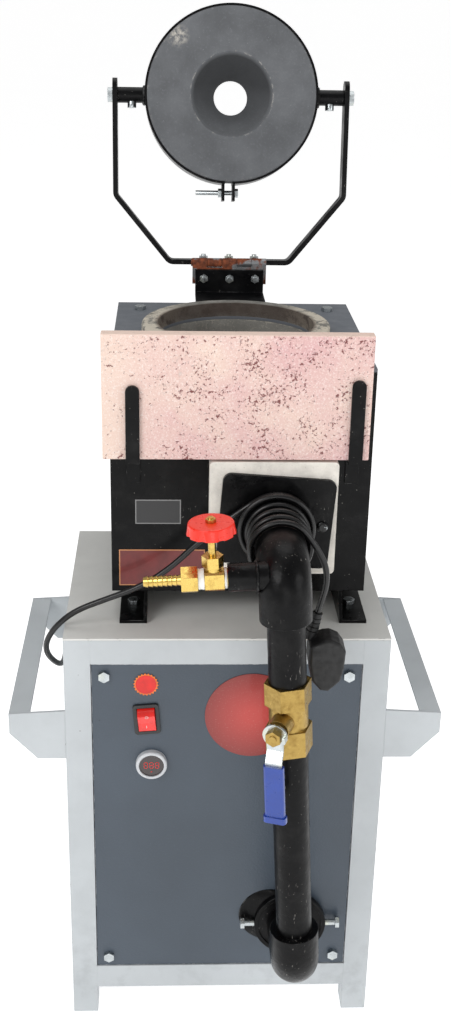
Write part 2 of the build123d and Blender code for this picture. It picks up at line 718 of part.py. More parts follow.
def blower_impeller():
    low = BLOWER_X - IMPELLER_WIDTH / 2
    centre = (BLOWER_Y, BLOWER_Z)
    wheel = rod((low, *centre), RIGHT, IMPELLER_RADIUS, IMPELLER_DISC)
    wheel += rod((low, *centre), RIGHT, IMPELLER_HUB, IMPELLER_WIDTH / 2)
    wheel += pipe(
        (low + IMPELLER_WIDTH - IMPELLER_DISC, *centre), RIGHT, IMPELLER_RADIUS, IMPELLER_INNER, IMPELLER_DISC
    )
    for k in range(IMPELLER_BLADES):
        turn = Location((0, *centre), (k * 360 / IMPELLER_BLADES, 0, 0))
        blade = slab(
            (low, low + IMPELLER_WIDTH - IMPELLER_DISC / 2),
            (-IMPELLER_DISC / 2, IMPELLER_DISC / 2),
            (IMPELLER_INNER, IMPELLER_RADIUS - 1),
        )
        wheel += turn * blade
    shaft_start = BLOWER_X - DUCT_WIDTH / 2 - MOTOR_GAP - MOTOR_LENGTH / 3
    shaft_end = low + IMPELLER_WIDTH / 2 + IMPELLER_DISC
    shaft = rod((shaft_start, *centre), RIGHT, SHAFT_RADIUS, shaft_end - shaft_start)
    wheel -= rod((low - 1, *centre), RIGHT, SHAFT_RADIUS, IMPELLER_WIDTH)
    return [wheel, shaft]


def blower_motor():
    end = BLOWER_X - DUCT_WIDTH / 2 - MOTOR_GAP
    motor = rod((end, BLOWER_Y, BLOWER_Z), LEFT, MOTOR_RADIUS, MOTOR_LENGTH)
    motor = fillet(motor.edges().sort_by(Axis.X)[0], 2 * MOTOR_GAP)
    motor += rod((end, BLOWER_Y, BLOWER_Z), RIGHT, IMPELLER_HUB - MOTOR_GAP, MOTOR_GAP)
    motor -= rod((end + 2 * MOTOR_GAP, BLOWER_Y, BLOWER_Z), LEFT, SHAFT_RADIUS + RUN_GAP, MOTOR_LENGTH / 2)
    return motor


def blower_bracket():
    end = BLOWER_X - DUCT_WIDTH / 2 - MOTOR_GAP
    x = (end - MOTOR_LENGTH + BRACKET_INSET, end - BRACKET_INSET)
    y = (BLOWER_Y - BRACKET_WIDTH / 2, BLOWER_Y + BRACKET_WIDTH / 2)
    bracket = slab(x, y, (FLOOR_TOP, FLOOR_TOP + BRACKET_SHEET))
    web_top = BLOWER_Z - MOTOR_RADIUS / 2
    for web_x in (x[0], x[1] - BRACKET_SHEET):
        bracket += slab((web_x, web_x + BRACKET_SHEET), y, (FLOOR_TOP, web_top))
    bracket -= rod((end, BLOWER_Y, BLOWER_Z), LEFT, MOTOR_RADIUS + RUN_GAP, MOTOR_LENGTH)
    bolts = []
    for bx in (x[0] + 3 * BRACKET_INSET, x[1] - 3 * BRACKET_INSET):
        seat = (bx, BLOWER_Y, FLOOR_TOP + BRACKET_SHEET)
        bolts.append(hex_bar(seat, UP, HEX_M6, HEX_M6_HEIGHT))
    return [bracket, *bolts]


# ---------------------------------------------------------------- air line
def outlet_adaptor():
    ring_back = ADAPTOR_RING_FRONT + ADAPTOR_RING_DEPTH

    def oblique(rear_radius, front_radius, rear_y, front_y):
        rear = Plane(origin=(BLOWER_X, rear_y, OUTLET_Z), z_dir=FORWARD) * Circle(rear_radius)
        front = Plane(origin=(OUTLET_X, front_y, LINE_OUTLET_Z), z_dir=FORWARD) * Circle(front_radius)
        return loft([rear, front])

    axis = (OUTLET_X, ADAPTOR_RING_FRONT, LINE_OUTLET_Z)
    body = oblique(ADAPTOR_REAR_RADIUS, ADAPTOR_RING - ADAPTOR_LIP / 2, PANEL_FRONT, ring_back)
    body += rod(axis, BACKWARD, ADAPTOR_RING, ADAPTOR_RING_DEPTH)
    body -= rod(axis, BACKWARD, ADAPTOR_RING - ADAPTOR_LIP, ADAPTOR_RECESS)
    body -= oblique(ADAPTOR_REAR_RADIUS - ADAPTOR_WALL, ELBOW_BORE, PANEL_FRONT, DISC_FACE)
    return body


def set_screws():
    screws = []
    for side in (-1, 1):
        y = ADAPTOR_RING_FRONT + ADAPTOR_RING_DEPTH / 2
        start = (OUTLET_X + side * ADAPTOR_RING, y, LINE_OUTLET_Z)
        shank = rod(start, (side, 0, 0), ADAPTOR_RING_DEPTH / 2, SET_SCREW_SHANK)
        tip = (start[0] + side * SET_SCREW_SHANK, y, LINE_OUTLET_Z)
        screws.append(shank + hex_bar(tip, (side, 0, 0), HEX_M6, HEX_M6_HEIGHT))
    return screws


def elbow(first, corner, last, socket_end):
    """Elbow body along two legs, with a bore and one pipe socket."""
    body = bent_tube([first, corner, last], ELBOW_BEND, ELBOW_RADIUS)
    body -= bent_tube([first, corner, last], ELBOW_BEND, ELBOW_BORE)
    start, inward = socket_end
    body -= rod(start, inward, PIPE_RADIUS + CLEAR, ELBOW_SOCKET)
    return body


def lower_elbow():
    back = DISC_FACE - PIPE_Y
    top = (0, 0, LOWER_ELBOW_REACH)
    return LINE * elbow((0, back, 0), (0, 0, 0), top, (top, DOWN))


def top_elbow():
    foot = (0, 0, LINE_HEIGHT - TOP_ELBOW_REACH)
    corner = (0, 0, LINE_HEIGHT)
    body = elbow(foot, corner, (0, TOP_ELBOW_REACH, LINE_HEIGHT), (foot, UP))
    gas_z = LINE_HEIGHT - GAS_DROP
    stub = rod((-ELBOW_BORE - 1, 0, gas_z), LEFT, GAS_STUB_RADIUS, -GAS_STUB_END - ELBOW_BORE - 1)
    body += stub
    body -= rod((GAS_STUB_END, 0, gas_z), RIGHT, GAS_NECK_RADIUS + RUN_GAP, GAS_NECK_INTO_STUB)
    body -= rod((GAS_STUB_END, 0, gas_z), RIGHT, GAS_BORE, -GAS_STUB_END)
    return LINE * body


def air_pipes():
    low = LOWER_ELBOW_REACH - ELBOW_SOCKET
    lower = pipe((0, 0, low), UP, PIPE_RADIUS, PIPE_BORE, VALVE_LOW + VALVE_SOCKET - low)
    start = VALVE_HIGH - VALVE_SOCKET
    end = LINE_HEIGHT - TOP_ELBOW_REACH + ELBOW_SOCKET
    upper = pipe((0, 0, start), UP, PIPE_RADIUS, PIPE_BORE, end - start)
    return [LINE * lower, LINE * upper]


def ball_valve_body():
    low, high = VALVE_LOW - VALVE_MID, VALVE_HIGH - VALVE_MID
    body = hex_bar((0, 0, low), UP, VALVE_FLATS, VALVE_HEX, RIGHT)
    body += rod((0, 0, low), UP, VALVE_WAIST_RADIUS, high - low)
    body += hex_bar((0, 0, high - VALVE_TOP_HEX), UP, VALVE_FLATS, VALVE_TOP_HEX, RIGHT)
    body += rod((0, 0, 0), RIGHT, STEM_NECK, STEM_NECK_END)
    body += hex_bar((STEM_NECK_END - GLAND_NUT, 0, 0), RIGHT, GLAND_NUT_FLATS, GLAND_NUT, UP)
    body -= rod((0, 0, low), UP, PIPE_RADIUS + CLEAR, VALVE_SOCKET)
    body -= rod((0, 0, high), DOWN, PIPE_RADIUS + CLEAR, VALVE_SOCKET)
    body -= rod((0, 0, low), UP, BALL_BORE, high - low)
    body -= Sphere(BALL_RADIUS + RUN_GAP)
    body -= rod((0, 0, 0), RIGHT, STEM_RADIUS + RUN_GAP, 2 * STEM_NECK_END)
    return VALVE * body


def ball_valve_ball():
    ball = Sphere(BALL_RADIUS) - rod((0, 0, -BALL_RADIUS), UP, BALL_BORE, 2 * BALL_RADIUS)
    return VALVE * ball


def ball_valve_stem():
    tip = LEVER_AT + LEVER_THICK + STEM_NUT + 1
    stem = rod((BALL_RADIUS, 0, 0), RIGHT, STEM_RADIUS, LEVER_AT - BALL_RADIUS)
    stem += rod((LEVER_AT, 0, 0), RIGHT, STEM_RADIUS - 1, tip - LEVER_AT)
    nut_at = (LEVER_AT + LEVER_THICK, 0, 0)
    nut = hex_bar(nut_at, RIGHT, STEM_NUT_FLATS, STEM_NUT, UP)
    nut -= rod(nut_at, RIGHT, STEM_RADIUS - 1, STEM_NUT)
    return [VALVE * stem, VALVE * nut]


def ball_valve_lever():
    x0, x1 = LEVER_AT, LEVER_AT + LEVER_THICK
    step = LEVER_STEP
    outline = [
        (x0, LEVER_HUB), (x1, LEVER_HUB), (x1, -LEVER_STEP_START), (x1 + step, -LEVER_STEP_END),
        (x1 + step, -LEVER_LENGTH), (x0 + step, -LEVER_LENGTH), (x0 + step, -LEVER_STEP_END),
        (x0, -LEVER_STEP_START),
    ]
    plane = Plane(origin=(0, -LEVER_HUB, 0), x_dir=RIGHT, z_dir=FORWARD)
    sheet = extrude(plane * make_face(Polyline(*outline, close=True)), amount=-2 * LEVER_HUB)
    hub = rod((x0 - step, 0, 0), RIGHT, LEVER_HUB, 3 * step)
    arm = slab((0, 2 * LEVER_AT), (-LEVER_WIDTH / 2, LEVER_WIDTH / 2), (-LEVER_LENGTH, 0))
    lever = sheet & (hub + arm)
    lever += slab((x0, x1 + STOP_TAB), (LEVER_HUB - LEVER_THICK, LEVER_HUB), (-STOP_TAB / 2, STOP_TAB / 2))
    lever -= rod((0, 0, 0), RIGHT, STEM_RADIUS - 1, 2 * LEVER_AT)
    return VALVE * lever


def lever_sleeve():
    centre_x = LEVER_AT + LEVER_THICK / 2 + LEVER_STEP
    x = (centre_x - SLEEVE_THICK / 2, centre_x + SLEEVE_THICK / 2)
    sleeve = slab(x, (-SLEEVE_WIDTH / 2, SLEEVE_WIDTH / 2), (-SLEEVE_END, -SLEEVE_START))
    sleeve = fillet(sleeve.edges().filter_by(Axis.Z), SLEEVE_THICK / 2 - 0.5)
    flare = slab(
        (x[0] - 1, x[1] + 1),
        (-SLEEVE_FLARE / 2, SLEEVE_FLARE / 2),
        (-SLEEVE_END, -SLEEVE_END + SLEEVE_FLARE_LENGTH),
    )
    sleeve += fillet(flare.edges().filter_by(Axis.Z), SLEEVE_THICK / 2)
    plate = LEVER_THICK / 2
    sleeve -= slab(
        (centre_x - plate, centre_x + plate),
        (-LEVER_WIDTH / 2, LEVER_WIDTH / 2),
        (-LEVER_LENGTH, -SLEEVE_START + 1),
    )
    return VALVE * sleeve


def burner_pipe():
    start = (BURNER_X, PIPE_Y + TOP_ELBOW_REACH, BURNER_Z)
    length = BURNER_PIPE_END - start[1]
    return pipe(start, BACKWARD, BURNER_PIPE_RADIUS, BURNER_PIPE_BORE, length)


def flange_bolt_places():
    return [(BURNER_X + side * FLANGE_BOLT_X, BURNER_Z + FLANGE_BOLT_Z) for side in (-1, 1)]


def flange_plate():
    plate = extrude(
        Plane(origin=(0, 0, 0), x_dir=RIGHT, z_dir=FORWARD)
        * RectangleRounded(FLANGE_WIDTH, FLANGE_HEIGHT, FLANGE_CORNER),
        amount=FLANGE_THICK,
    )
    plate = Location((BURNER_X, BLOCK_FRONT, BURNER_Z), (0, FLANGE_TURN, 0)) * plate
    plate -= rod((BURNER_X, BLOCK_FRONT + 1, BURNER_Z), FORWARD, BURNER_PIPE_RADIUS, 3 * FLANGE_THICK)
    for x, z in flange_bolt_places():
        plate -= rod((x, BLOCK_FRONT + 1, z), FORWARD, BOLT_M6 + CLEAR, 3 * FLANGE_THICK)
    return plate


def burner_block():
    block = slab(BLOCK_X, (BLOCK_FRONT, FURNACE_FRONT), BLOCK_Z)
    block = fillet(block.edges().filter_by(Axis.Y), FLANGE_THICK)
    depth = FURNACE_FRONT - BLOCK_FRONT + 2
    block -= rod((BURNER_X, BLOCK_FRONT - 1, BURNER_Z), BACKWARD, BURNER_PIPE_RADIUS + CLEAR, depth)
    for x, z in flange_bolt_places():
        block -= rod((x, BLOCK_FRONT - 1, z), BACKWARD, BOLT_M6 + CLEAR, depth)
    return block


def round_bolt(x, z):
    """Round-head bolt that holds the flange through the burner block."""
    head = rod((x, FLANGE_FRONT, z), FORWARD, ROUND_HEAD, ROUND_HEAD_HEIGHT)
    head = fillet(head.edges().sort_by(Axis.Y)[0], ROUND_HEAD_HEIGHT - 0.5)
    return head + rod((x, FLANGE_FRONT, z), BACKWARD, BOLT_M6, FLANGE_BOLT_END - FLANGE_FRONT)


# ---------------------------------------------------------------- gas line
def gas_valve():
    low, high = GAS_BLOCK
    half = GAS_BLOCK_SIDE / 2
    body = slab((low, high), (-half, half), (-half, half))
    body = chamfer(body.edges().filter_by(Axis.X), 2.0)
    body += rod((high, 0, 0), RIGHT, GAS_NECK_RADIUS, GAS_STUB_END + GAS_NECK_INTO_STUB - high)
    body += rod((low, 0, 0), LEFT, GAS_NECK_RADIUS, low - UNION_START + UNION_LENGTH / 2)
    top = BONNET_START + BONNET_HEIGHT
    body += rod((GAS_STEM_X, 0, 0), UP, BONNET_NECK, BONNET_START)
    body += hex_bar((GAS_STEM_X, 0, BONNET_START), UP, BONNET_FLATS, BONNET_HEIGHT, RIGHT)
    body -= rod((GAS_STEM_X, 0, -GAS_BORE), UP, SPINDLE_RADIUS + RUN_GAP, top + 2 * GAS_BORE)
    body -= rod((UNION_START - UNION_LENGTH, 0, 0), RIGHT, GAS_BORE - 1, UNION_LENGTH + 40)
    return GAS * body


def gas_spindle():
    foot = -GAS_BORE + RUN_GAP + SPINDLE_FOOT
    tip = WHEEL_TOP + WHEEL_NUT + SPINDLE_TIP
    spindle = rod((GAS_STEM_X, 0, foot), UP, SPINDLE_RADIUS, WHEEL_TOP - foot)
    spindle += rod((GAS_STEM_X, 0, WHEEL_TOP), UP, SPINDLE_RADIUS - 1, tip - WHEEL_TOP)
    nut_at = (GAS_STEM_X, 0, WHEEL_TOP + RUN_GAP)
    nut = hex_bar(nut_at, UP, WHEEL_NUT_FLATS, WHEEL_NUT, RIGHT)
    nut -= rod(nut_at, UP, SPINDLE_RADIUS - 1, WHEEL_NUT)
    return [GAS * spindle, GAS * nut]


def gas_handwheel():
    base = WHEEL_TOP - WHEEL_HEIGHT
    centre = (GAS_STEM_X, 0, base)
    outer = cone(centre, UP, WHEEL_FLARE, WHEEL_RADIUS, WHEEL_HEIGHT)
    outer = fillet(outer.edges().sort_by(Axis.Z)[-1], WHEEL_PLATE / 2)
    hollow = cone(centre, UP, WHEEL_FLARE - WHEEL_RIM, WHEEL_RADIUS - WHEEL_RIM, WHEEL_HEIGHT - WHEEL_PLATE)
    wheel = outer - hollow + rod(centre, UP, WHEEL_HUB, WHEEL_HEIGHT)
    for k in range(WHEEL_SCALLOPS):
        angle = 2 * pi * (k + 0.5) / WHEEL_SCALLOPS
        reach = WHEEL_FLARE + WHEEL_RIM
        x, y = GAS_STEM_X + reach * cos(angle), reach * sin(angle)
        wheel -= rod((x, y, base - 1), UP, WHEEL_RIM + 1.6, WHEEL_HEIGHT + 2)
    wheel -= rod((GAS_STEM_X, 0, base - 1), UP, SPINDLE_RADIUS + RUN_GAP, WHEEL_HEIGHT + 2)
    return GAS * wheel


def hose_barb():
    union = hex_bar((UNION_START, 0, 0), LEFT, UNION_FLATS, UNION_LENGTH, UP)
    union = union - rod((UNION_START, 0, 0), LEFT, GAS_NECK_RADIUS + RUN_GAP, UNION_LENGTH / 2)
    start = UNION_START - UNION_LENGTH
    pitch = (start - BARB_END) / BARB_RIBS
    barb = rod((start, 0, 0), LEFT, BARB_ROOT, start - BARB_END)
    for k in range(BARB_RIBS):
        barb += cone((start - k * pitch, 0, 0), LEFT, BARB_RADIUS, BARB_ROOT, pitch)
    barb = union + barb
    barb -= rod((UNION_START, 0, 0), LEFT, BARB_BORE, UNION_START - BARB_END)
    return GAS * barb


# ---------------------------------------------------------------- furnace
def furnace_span(inset):
    x = (FURNACE_X - FURNACE_SIDE / 2 + inset, FURNACE_X + FURNACE_SIDE / 2 - inset)
    y = (FURNACE_FRONT + inset, FURNACE_BACK - inset)
    return x, y


def chamber(radius, low, high):
    """Round column on the chamber's axis."""
    return rod((CHAMBER_X, CHAMBER_Y, low), UP, radius, high - low)


def furnace_shell():
    shell = slab(*furnace_span(0), (FURNACE_LOW, PLATE_LOW))
    shell -= slab(*furnace_span(SHELL), (FURNACE_LOW + SHELL, FURNACE_TOP))
    depth = 2 * SHELL
    start = FURNACE_FRONT - 1
    shell -= rod((BURNER_X, start, BURNER_Z), BACKWARD, BURNER_PIPE_RADIUS + CLEAR, depth)
    for x, z in flange_bolt_places():
        shell -= rod((x, start, z), BACKWARD, BOLT_M6 + CLEAR, depth)
    return shell


def furnace_lining():
    base = slab(*furnace_span(SHELL), (FURNACE_LOW + SHELL, CHAMBER_FLOOR))
    block = slab(*furnace_span(SHELL), (CHAMBER_FLOOR, PLATE_LOW))
    block -= chamber(CHAMBER_RADIUS, CHAMBER_FLOOR, PLATE_LOW)
    port = rod((BURNER_X, FURNACE_FRONT, BURNER_Z), BACKWARD, BURNER_PIPE_RADIUS + CLEAR, FURNACE_SIDE / 2)
    block -= port
    for x, z in flange_bolt_places():
        block -= rod((x, FURNACE_FRONT, z), BACKWARD, BOLT_M6 + CLEAR, 4 * SHELL)
    for x, y in top_bolt_places():
        block -= rod((x, y, PLATE_LOW), DOWN, BOLT_M6 + CLEAR, PANEL_BOLT_LENGTH)
    plinth = chamber(PLINTH_RADIUS, CHAMBER_FLOOR, CHAMBER_FLOOR + PLINTH_HEIGHT)
    return [base, block, plinth]


def top_bolt_places():
    return [(FURNACE_X + side * TOP_BOLT_X, y) for side in (-1, 1) for y in TOP_BOLT_Y]


def top_plate():
    plate = slab(*furnace_span(0), (PLATE_LOW, FURNACE_TOP))
    plate -= chamber(CHAMBER_RADIUS, PLATE_LOW - 1, FURNACE_TOP + 1)
    for x, y in top_bolt_places():
        plate -= rod((x, y, PLATE_LOW - 1), UP, BOLT_M6 + CLEAR, TOP_PLATE + 2)
    return plate


def collar_ring():
    ring = chamber(COLLAR_RADIUS, FURNACE_TOP, COLLAR_TOP)
    ring = fillet(ring.edges().sort_by(Axis.Z)[-1], COLLAR_ROUND)
    return ring - chamber(CHAMBER_RADIUS, FURNACE_TOP - 1, COLLAR_TOP + 1)


def crucible():
    foot, top = CRUCIBLE_FOOT, CRUCIBLE_FOOT + CRUCIBLE_HEIGHT
    axis = (CHAMBER_X, CHAMBER_Y)
    pot = cone((*axis, foot), UP, CRUCIBLE_FOOT_RADIUS, CRUCIBLE_TOP_RADIUS, CRUCIBLE_HEIGHT)
    pot = fillet(pot.edges().sort_by(Axis.Z)[0], CRUCIBLE_WALL / 2)
    pot -= cone(
        (*axis, foot + CRUCIBLE_WALL), UP,
        CRUCIBLE_FOOT_RADIUS - CRUCIBLE_WALL, CRUCIBLE_TOP_RADIUS - CRUCIBLE_WALL,
        CRUCIBLE_HEIGHT - CRUCIBLE_WALL,
    )
    return pot


def runner_bolt_places():
    return [
        (x, y)
        for x in (RUNNER_INNER_LEFT - RUNNER_BOLT_OUT, RUNNER_INNER_RIGHT + RUNNER_BOLT_OUT)
        for y in RUNNER_BOLT_Y
    ]


def angle_runners():
    runners = []
    for inner, side in ((RUNNER_INNER_LEFT, -1), (RUNNER_INNER_RIGHT, 1)):
        flat = sorted((inner, inner + side * RUNNER))
        web = sorted((inner, inner + side * RUNNER_THICK))
        y = (RUNNER_FRONT, RUNNER_BACK)
        runner = slab(flat, y, (CABINET_HEIGHT, CABINET_HEIGHT + RUNNER_THICK))
        runner += slab(web, y, (CABINET_HEIGHT, FURNACE_LOW))
        taper = Plane(origin=(web[0] - 1, 0, 0), x_dir=BACKWARD, z_dir=RIGHT) * make_face(
            Polyline(
                (RUNNER_FRONT, CABINET_HEIGHT + RUNNER_THICK * 2),
                (FURNACE_FRONT, FURNACE_LOW), (RUNNER_FRONT, FURNACE_LOW), close=True,
            )
        )
        runner -= extrude(taper, amount=RUNNER_THICK + 2)
        for x, bolt_y in runner_bolt_places():
            runner -= rod((x, bolt_y, CABINET_HEIGHT - 1), UP, BOLT_M6 + CLEAR, RUNNER_THICK + 2)
        runners.append(runner)
    return runners


def furnace_bolts():
    bolts = [round_bolt(x, z) for x, z in flange_bolt_places()]
    for x, y in top_bolt_places():
        seat = (x, y, FURNACE_TOP)
        bolts.append(hex_bolt(seat, DOWN, BOLT_M6, PANEL_BOLT_LENGTH, HEX_M6, HEX_M6_HEIGHT))
    for x, y in runner_bolt_places():
        seat = (x, y, CABINET_HEIGHT + RUNNER_THICK)
        bolts.append(hex_bolt(seat, DOWN, BOLT_M6, PANEL_BOLT_LENGTH / 2, HEX_M6, HEX_M6_HEIGHT))
    return bolts


def board_hooks():
    hooks = []
    shelf_top = BOARD_Z[0] - TOUCH
    front = BOARD_FRONT - TOUCH - HOOK_THICK
    for x, top in zip(HOOK_X, HOOK_TOP):
        span = (x - HOOK_WIDTH / 2, x + HOOK_WIDTH / 2)
        strap = slab(span, (front, front + HOOK_THICK), (shelf_top - HOOK_THICK, top))
        strap = fillet(
            strap.edges().filter_by(Axis.Y).group_by(Axis.Z)[-1], HOOK_WIDTH / 2 - 0.25
        )
        hook = strap + slab(span, (front, FURNACE_FRONT), (shelf_top - HOOK_THICK, shelf_top))
        hook += slab(
            span, (FURNACE_FRONT - HOOK_THICK, FURNACE_FRONT), (shelf_top - HOOK_TAIL, shelf_top)
        )
        hooks.append(hook)
    return hooks


def refractory_board():
    x = (BOARD_X - BOARD_WIDTH / 2, BOARD_X + BOARD_WIDTH / 2)
    board = slab(x, (BOARD_FRONT, BOARD_FRONT + BOARD_THICK), BOARD_Z)
    return fillet(board.edges(), 1.0)


# ---------------------------------------------------------------- hinge and yoke
def knuckles(which):
    """Rolled barrel pieces of one leaf, numbered from the left."""
    length = HINGE_LENGTH / HINGE_KNUCKLES
    left = HINGE_X - HINGE_LENGTH / 2
    pieces = []
    for k in which:
        start = left + k * length + (KNUCKLE_GAP / 2 if k else 0)
        end = left + (k + 1) * length - (KNUCKLE_GAP / 2 if k < HINGE_KNUCKLES - 1 else 0)
        pieces.append(((start, end), rod((start, HINGE_Y, HINGE_Z), RIGHT, HINGE_RADIUS, end - start)))
    return pieces


def pin_hole():
    start = (HINGE_X - HINGE_LENGTH, HINGE_Y, HINGE_Z)
    return rod(start, RIGHT, PIN_RADIUS + RUN_GAP, 2 * HINGE_LENGTH)


def hinge_bolt_xs():
    return [HINGE_X + k * HINGE_BOLT_PITCH for k in (-1, 0, 1)]


def leaf_y():
    return (HINGE_Y - HINGE_RADIUS, HINGE_Y - HINGE_RADIUS + LEAF)


def hinge_bracket():
    back = leaf_y()[0]
    x = (HINGE_X - BRACKET_X / 2, HINGE_X + BRACKET_X / 2)
    bracket = slab(x, (BRACKET_FRONT, back), (FURNACE_TOP, FURNACE_TOP + BRACKET_PLATE))
    bracket += slab(x, (back - BRACKET_PLATE, back), (FURNACE_TOP, BRACKET_TOP))
    for bolt_x in hinge_bolt_xs():
        bracket -= rod((bolt_x, back + 1, HINGE_BOLT_Z), FORWARD, BOLT_M5 + CLEAR, 2 * BRACKET_PLATE)
    return bracket


def hinge_lower_leaf():
    half = HINGE_LENGTH / 2
    low, high = leaf_y()
    clear_z = HINGE_Z - HINGE_RADIUS - TOUCH
    leaf = slab((HINGE_X - half, HINGE_X + half), (low, high), (LEAF_LOW, clear_z))
    for (start, end), barrel in knuckles(range(0, HINGE_KNUCKLES, 2)):
        leaf += slab((start, end), (low, high), (clear_z - 1, HINGE_Z)) + barrel
    for bolt_x in hinge_bolt_xs():
        leaf -= rod((bolt_x, high + 1, HINGE_BOLT_Z), FORWARD, BOLT_M5 + CLEAR, 3 * LEAF)
    return leaf - pin_hole()


def hinge_upper_leaf():
    """Leaf on the yoke; its barrel pieces are turned in the yoke's own leaning frame."""
    half = HINGE_LENGTH / 2
    under = YOKE_CENTRE_UP - YOKE_THICK / 2
    clear_y = HINGE_RADIUS + TOUCH
    leaf_end = YOKE_BEHIND + YOKE_BAR / 2
    leaf = slab((-half, half), (clear_y, leaf_end), (under - LEAF, under))
    barrels = []
    for (start, end), barrel in knuckles(range(1, HINGE_KNUCKLES, 2)):
        leaf += slab((start - HINGE_X, end - HINGE_X), (0, clear_y + 1), (under - LEAF, under))
        barrels.append(barrel)
    for bolt_x in hinge_bolt_xs():
        start = (bolt_x - HINGE_X, YOKE_BEHIND, under + 1)
        leaf -= rod(start, DOWN, BOLT_M5 + CLEAR, 3 * LEAF)
    leaf = YOKE * leaf
    for barrel in barrels:
        leaf += barrel
    return leaf - pin_hole()


def hinge_pin():
    start = HINGE_X - HINGE_LENGTH / 2
    pin = rod((start - 1, HINGE_Y, HINGE_Z), RIGHT, PIN_RADIUS, HINGE_LENGTH + 1)
    return pin + rod((start, HINGE_Y, HINGE_Z), LEFT, PIN_HEAD, 1.5)


def bracket_bolts():
    """Bolts through bracket and lower leaf, heads behind and nuts in front."""
    low, high = leaf_y()
    bolts = []
    for x in hinge_bolt_xs():
        reach = high - low + BRACKET_PLATE + HEX_M5_HEIGHT + 2
        bolt = hex_bolt((x, high, HINGE_BOLT_Z), FORWARD, BOLT_M5, reach, HEX_M5, HEX_M5_HEIGHT)
        nut = hex_bar((x, low - BRACKET_PLATE, HINGE_BOLT_Z), FORWARD, HEX_M5, HEX_M5_HEIGHT)
        bolts.append(bolt + nut)
    return bolts


def yoke():
    top = TRUNNION_UP + ARM_OVER
    points = [
        (-YOKE_HALF_SPAN, YOKE_BEHIND, top),
        (-YOKE_HALF_SPAN, YOKE_BEHIND, YOKE_ARM_START),
        (-YOKE_FLAT, YOKE_BEHIND, YOKE_CENTRE_UP),
        (YOKE_FLAT, YOKE_BEHIND, YOKE_CENTRE_UP),
        (YOKE_HALF_SPAN, YOKE_BEHIND, YOKE_ARM_START),
        (YOKE_HALF_SPAN, YOKE_BEHIND, top),
    ]
    path = FilletPolyline(*points, radius=YOKE_BEND)
    section = Plane(origin=path @ 0, x_dir=RIGHT, z_dir=path % 0) * Rectangle(YOKE_THICK, YOKE_BAR)
    bar = sweep(section, path=path)
    corners = bar.edges().filter_by(Axis.X).group_by(Axis.Z)[-1]
    bar = fillet(corners, YOKE_BAR / 2 - 0.5)
    reach = 4 * YOKE_HALF_SPAN
    bar -= rod((-reach / 2, YOKE_BEHIND, TRUNNION_UP), RIGHT, TRUNNION_BOLT + RUN_GAP, reach)
    for bolt_x in hinge_bolt_xs():
        bar -= rod((bolt_x - HINGE_X, YOKE_BEHIND, YOKE_THICK), DOWN, BOLT_M5 + CLEAR, 3 * YOKE_THICK)
    return YOKE * bar


def yoke_bolts():
    """Three bolts through leaf and yoke, and the two trunnion bolts the lid turns on."""
    under = YOKE_CENTRE_UP - YOKE_THICK / 2 - LEAF
    over = YOKE_CENTRE_UP + YOKE_THICK / 2
    bolts = []
    for bolt_x in hinge_bolt_xs():
        place = (bolt_x - HINGE_X, YOKE_BEHIND)
        reach = over - under + HEX_M5_HEIGHT + 2
        bolt = hex_bolt((*place, under), UP, BOLT_M5, reach, HEX_M5, HEX_M5_HEIGHT)
        bolts.append(YOKE * (bolt + hex_bar((*place, over), UP, HEX_M5, HEX_M5_HEIGHT)))
    outer = YOKE_HALF_SPAN + YOKE_THICK / 2
    for side in (-1, 1):
        seat = (side * outer, YOKE_BEHIND, TRUNNION_UP)
        length = outer - LID_RADIUS - BAND - 3
        bolts.append(
            YOKE * hex_bolt(seat, (-side, 0, 0), TRUNNION_BOLT, length, TRUNNION_HEX, TRUNNION_HEX_HEIGHT)
        )
    return bolts


# ---------------------------------------------------------------- lid
def lid_refractory():
    half = LID_THICK / 2
    disc = rod((0, -half, 0), BACKWARD, LID_RADIUS, LID_THICK)
    disc = fillet(disc.edges(), 2.0)
    disc -= cone((0, -half, 0), BACKWARD, LID_CONE, LID_FLUE, LID_CONE_DEPTH)
    disc -= rod((0, -half, 0), BACKWARD, LID_FLUE, LID_THICK)
    return LID * disc


def lid_band():
    half = BAND_WIDTH / 2
    outer = LID_RADIUS + BAND
    band = pipe((0, -half, 0), BACKWARD, outer, LID_RADIUS, BAND_WIDTH)
    for side in (-1, 1):
        x_face = EAR_OFFSET + side * EAR_GAP / 2
        x = sorted((x_face, x_face + side * EAR_THICK))
        ear = slab(x, (-EAR_WIDTH / 2, EAR_WIDTH / 2), (-outer - EAR_LENGTH, -LID_RADIUS))
        band += ear
        length = YOKE_HALF_SPAN - YOKE_THICK / 2 - TOUCH - LID_RADIUS
        band += rod((side * LID_RADIUS, 0, 0), (side, 0, 0), TRUNNION_TUBE, length)
    gap = (EAR_OFFSET - EAR_GAP / 2, EAR_OFFSET + EAR_GAP / 2)
    band -= slab(gap, (-half - 1, half + 1), (-outer - EAR_LENGTH - 1, 0))
    band -= rod((0, -half - 1, 0), BACKWARD, LID_RADIUS, BAND_WIDTH + 2)
    for side in (-1, 1):
        start = (side * (LID_RADIUS - 1), 0, 0)
        band -= rod(start, (side, 0, 0), TRUNNION_BOLT + RUN_GAP, YOKE_HALF_SPAN)
        grub_at = (side * GRUB_IN, 0, -TRUNNION_TUBE + 2)
        band -= rod(grub_at, DOWN, GRUB_RADIUS, GRUB_LENGTH)
    bolt_z = -outer - EAR_LENGTH / 2
    band -= rod((-LID_RADIUS, 0, bolt_z), RIGHT, CLAMP_BOLT + CLEAR, 2 * LID_RADIUS)
    return LID * band


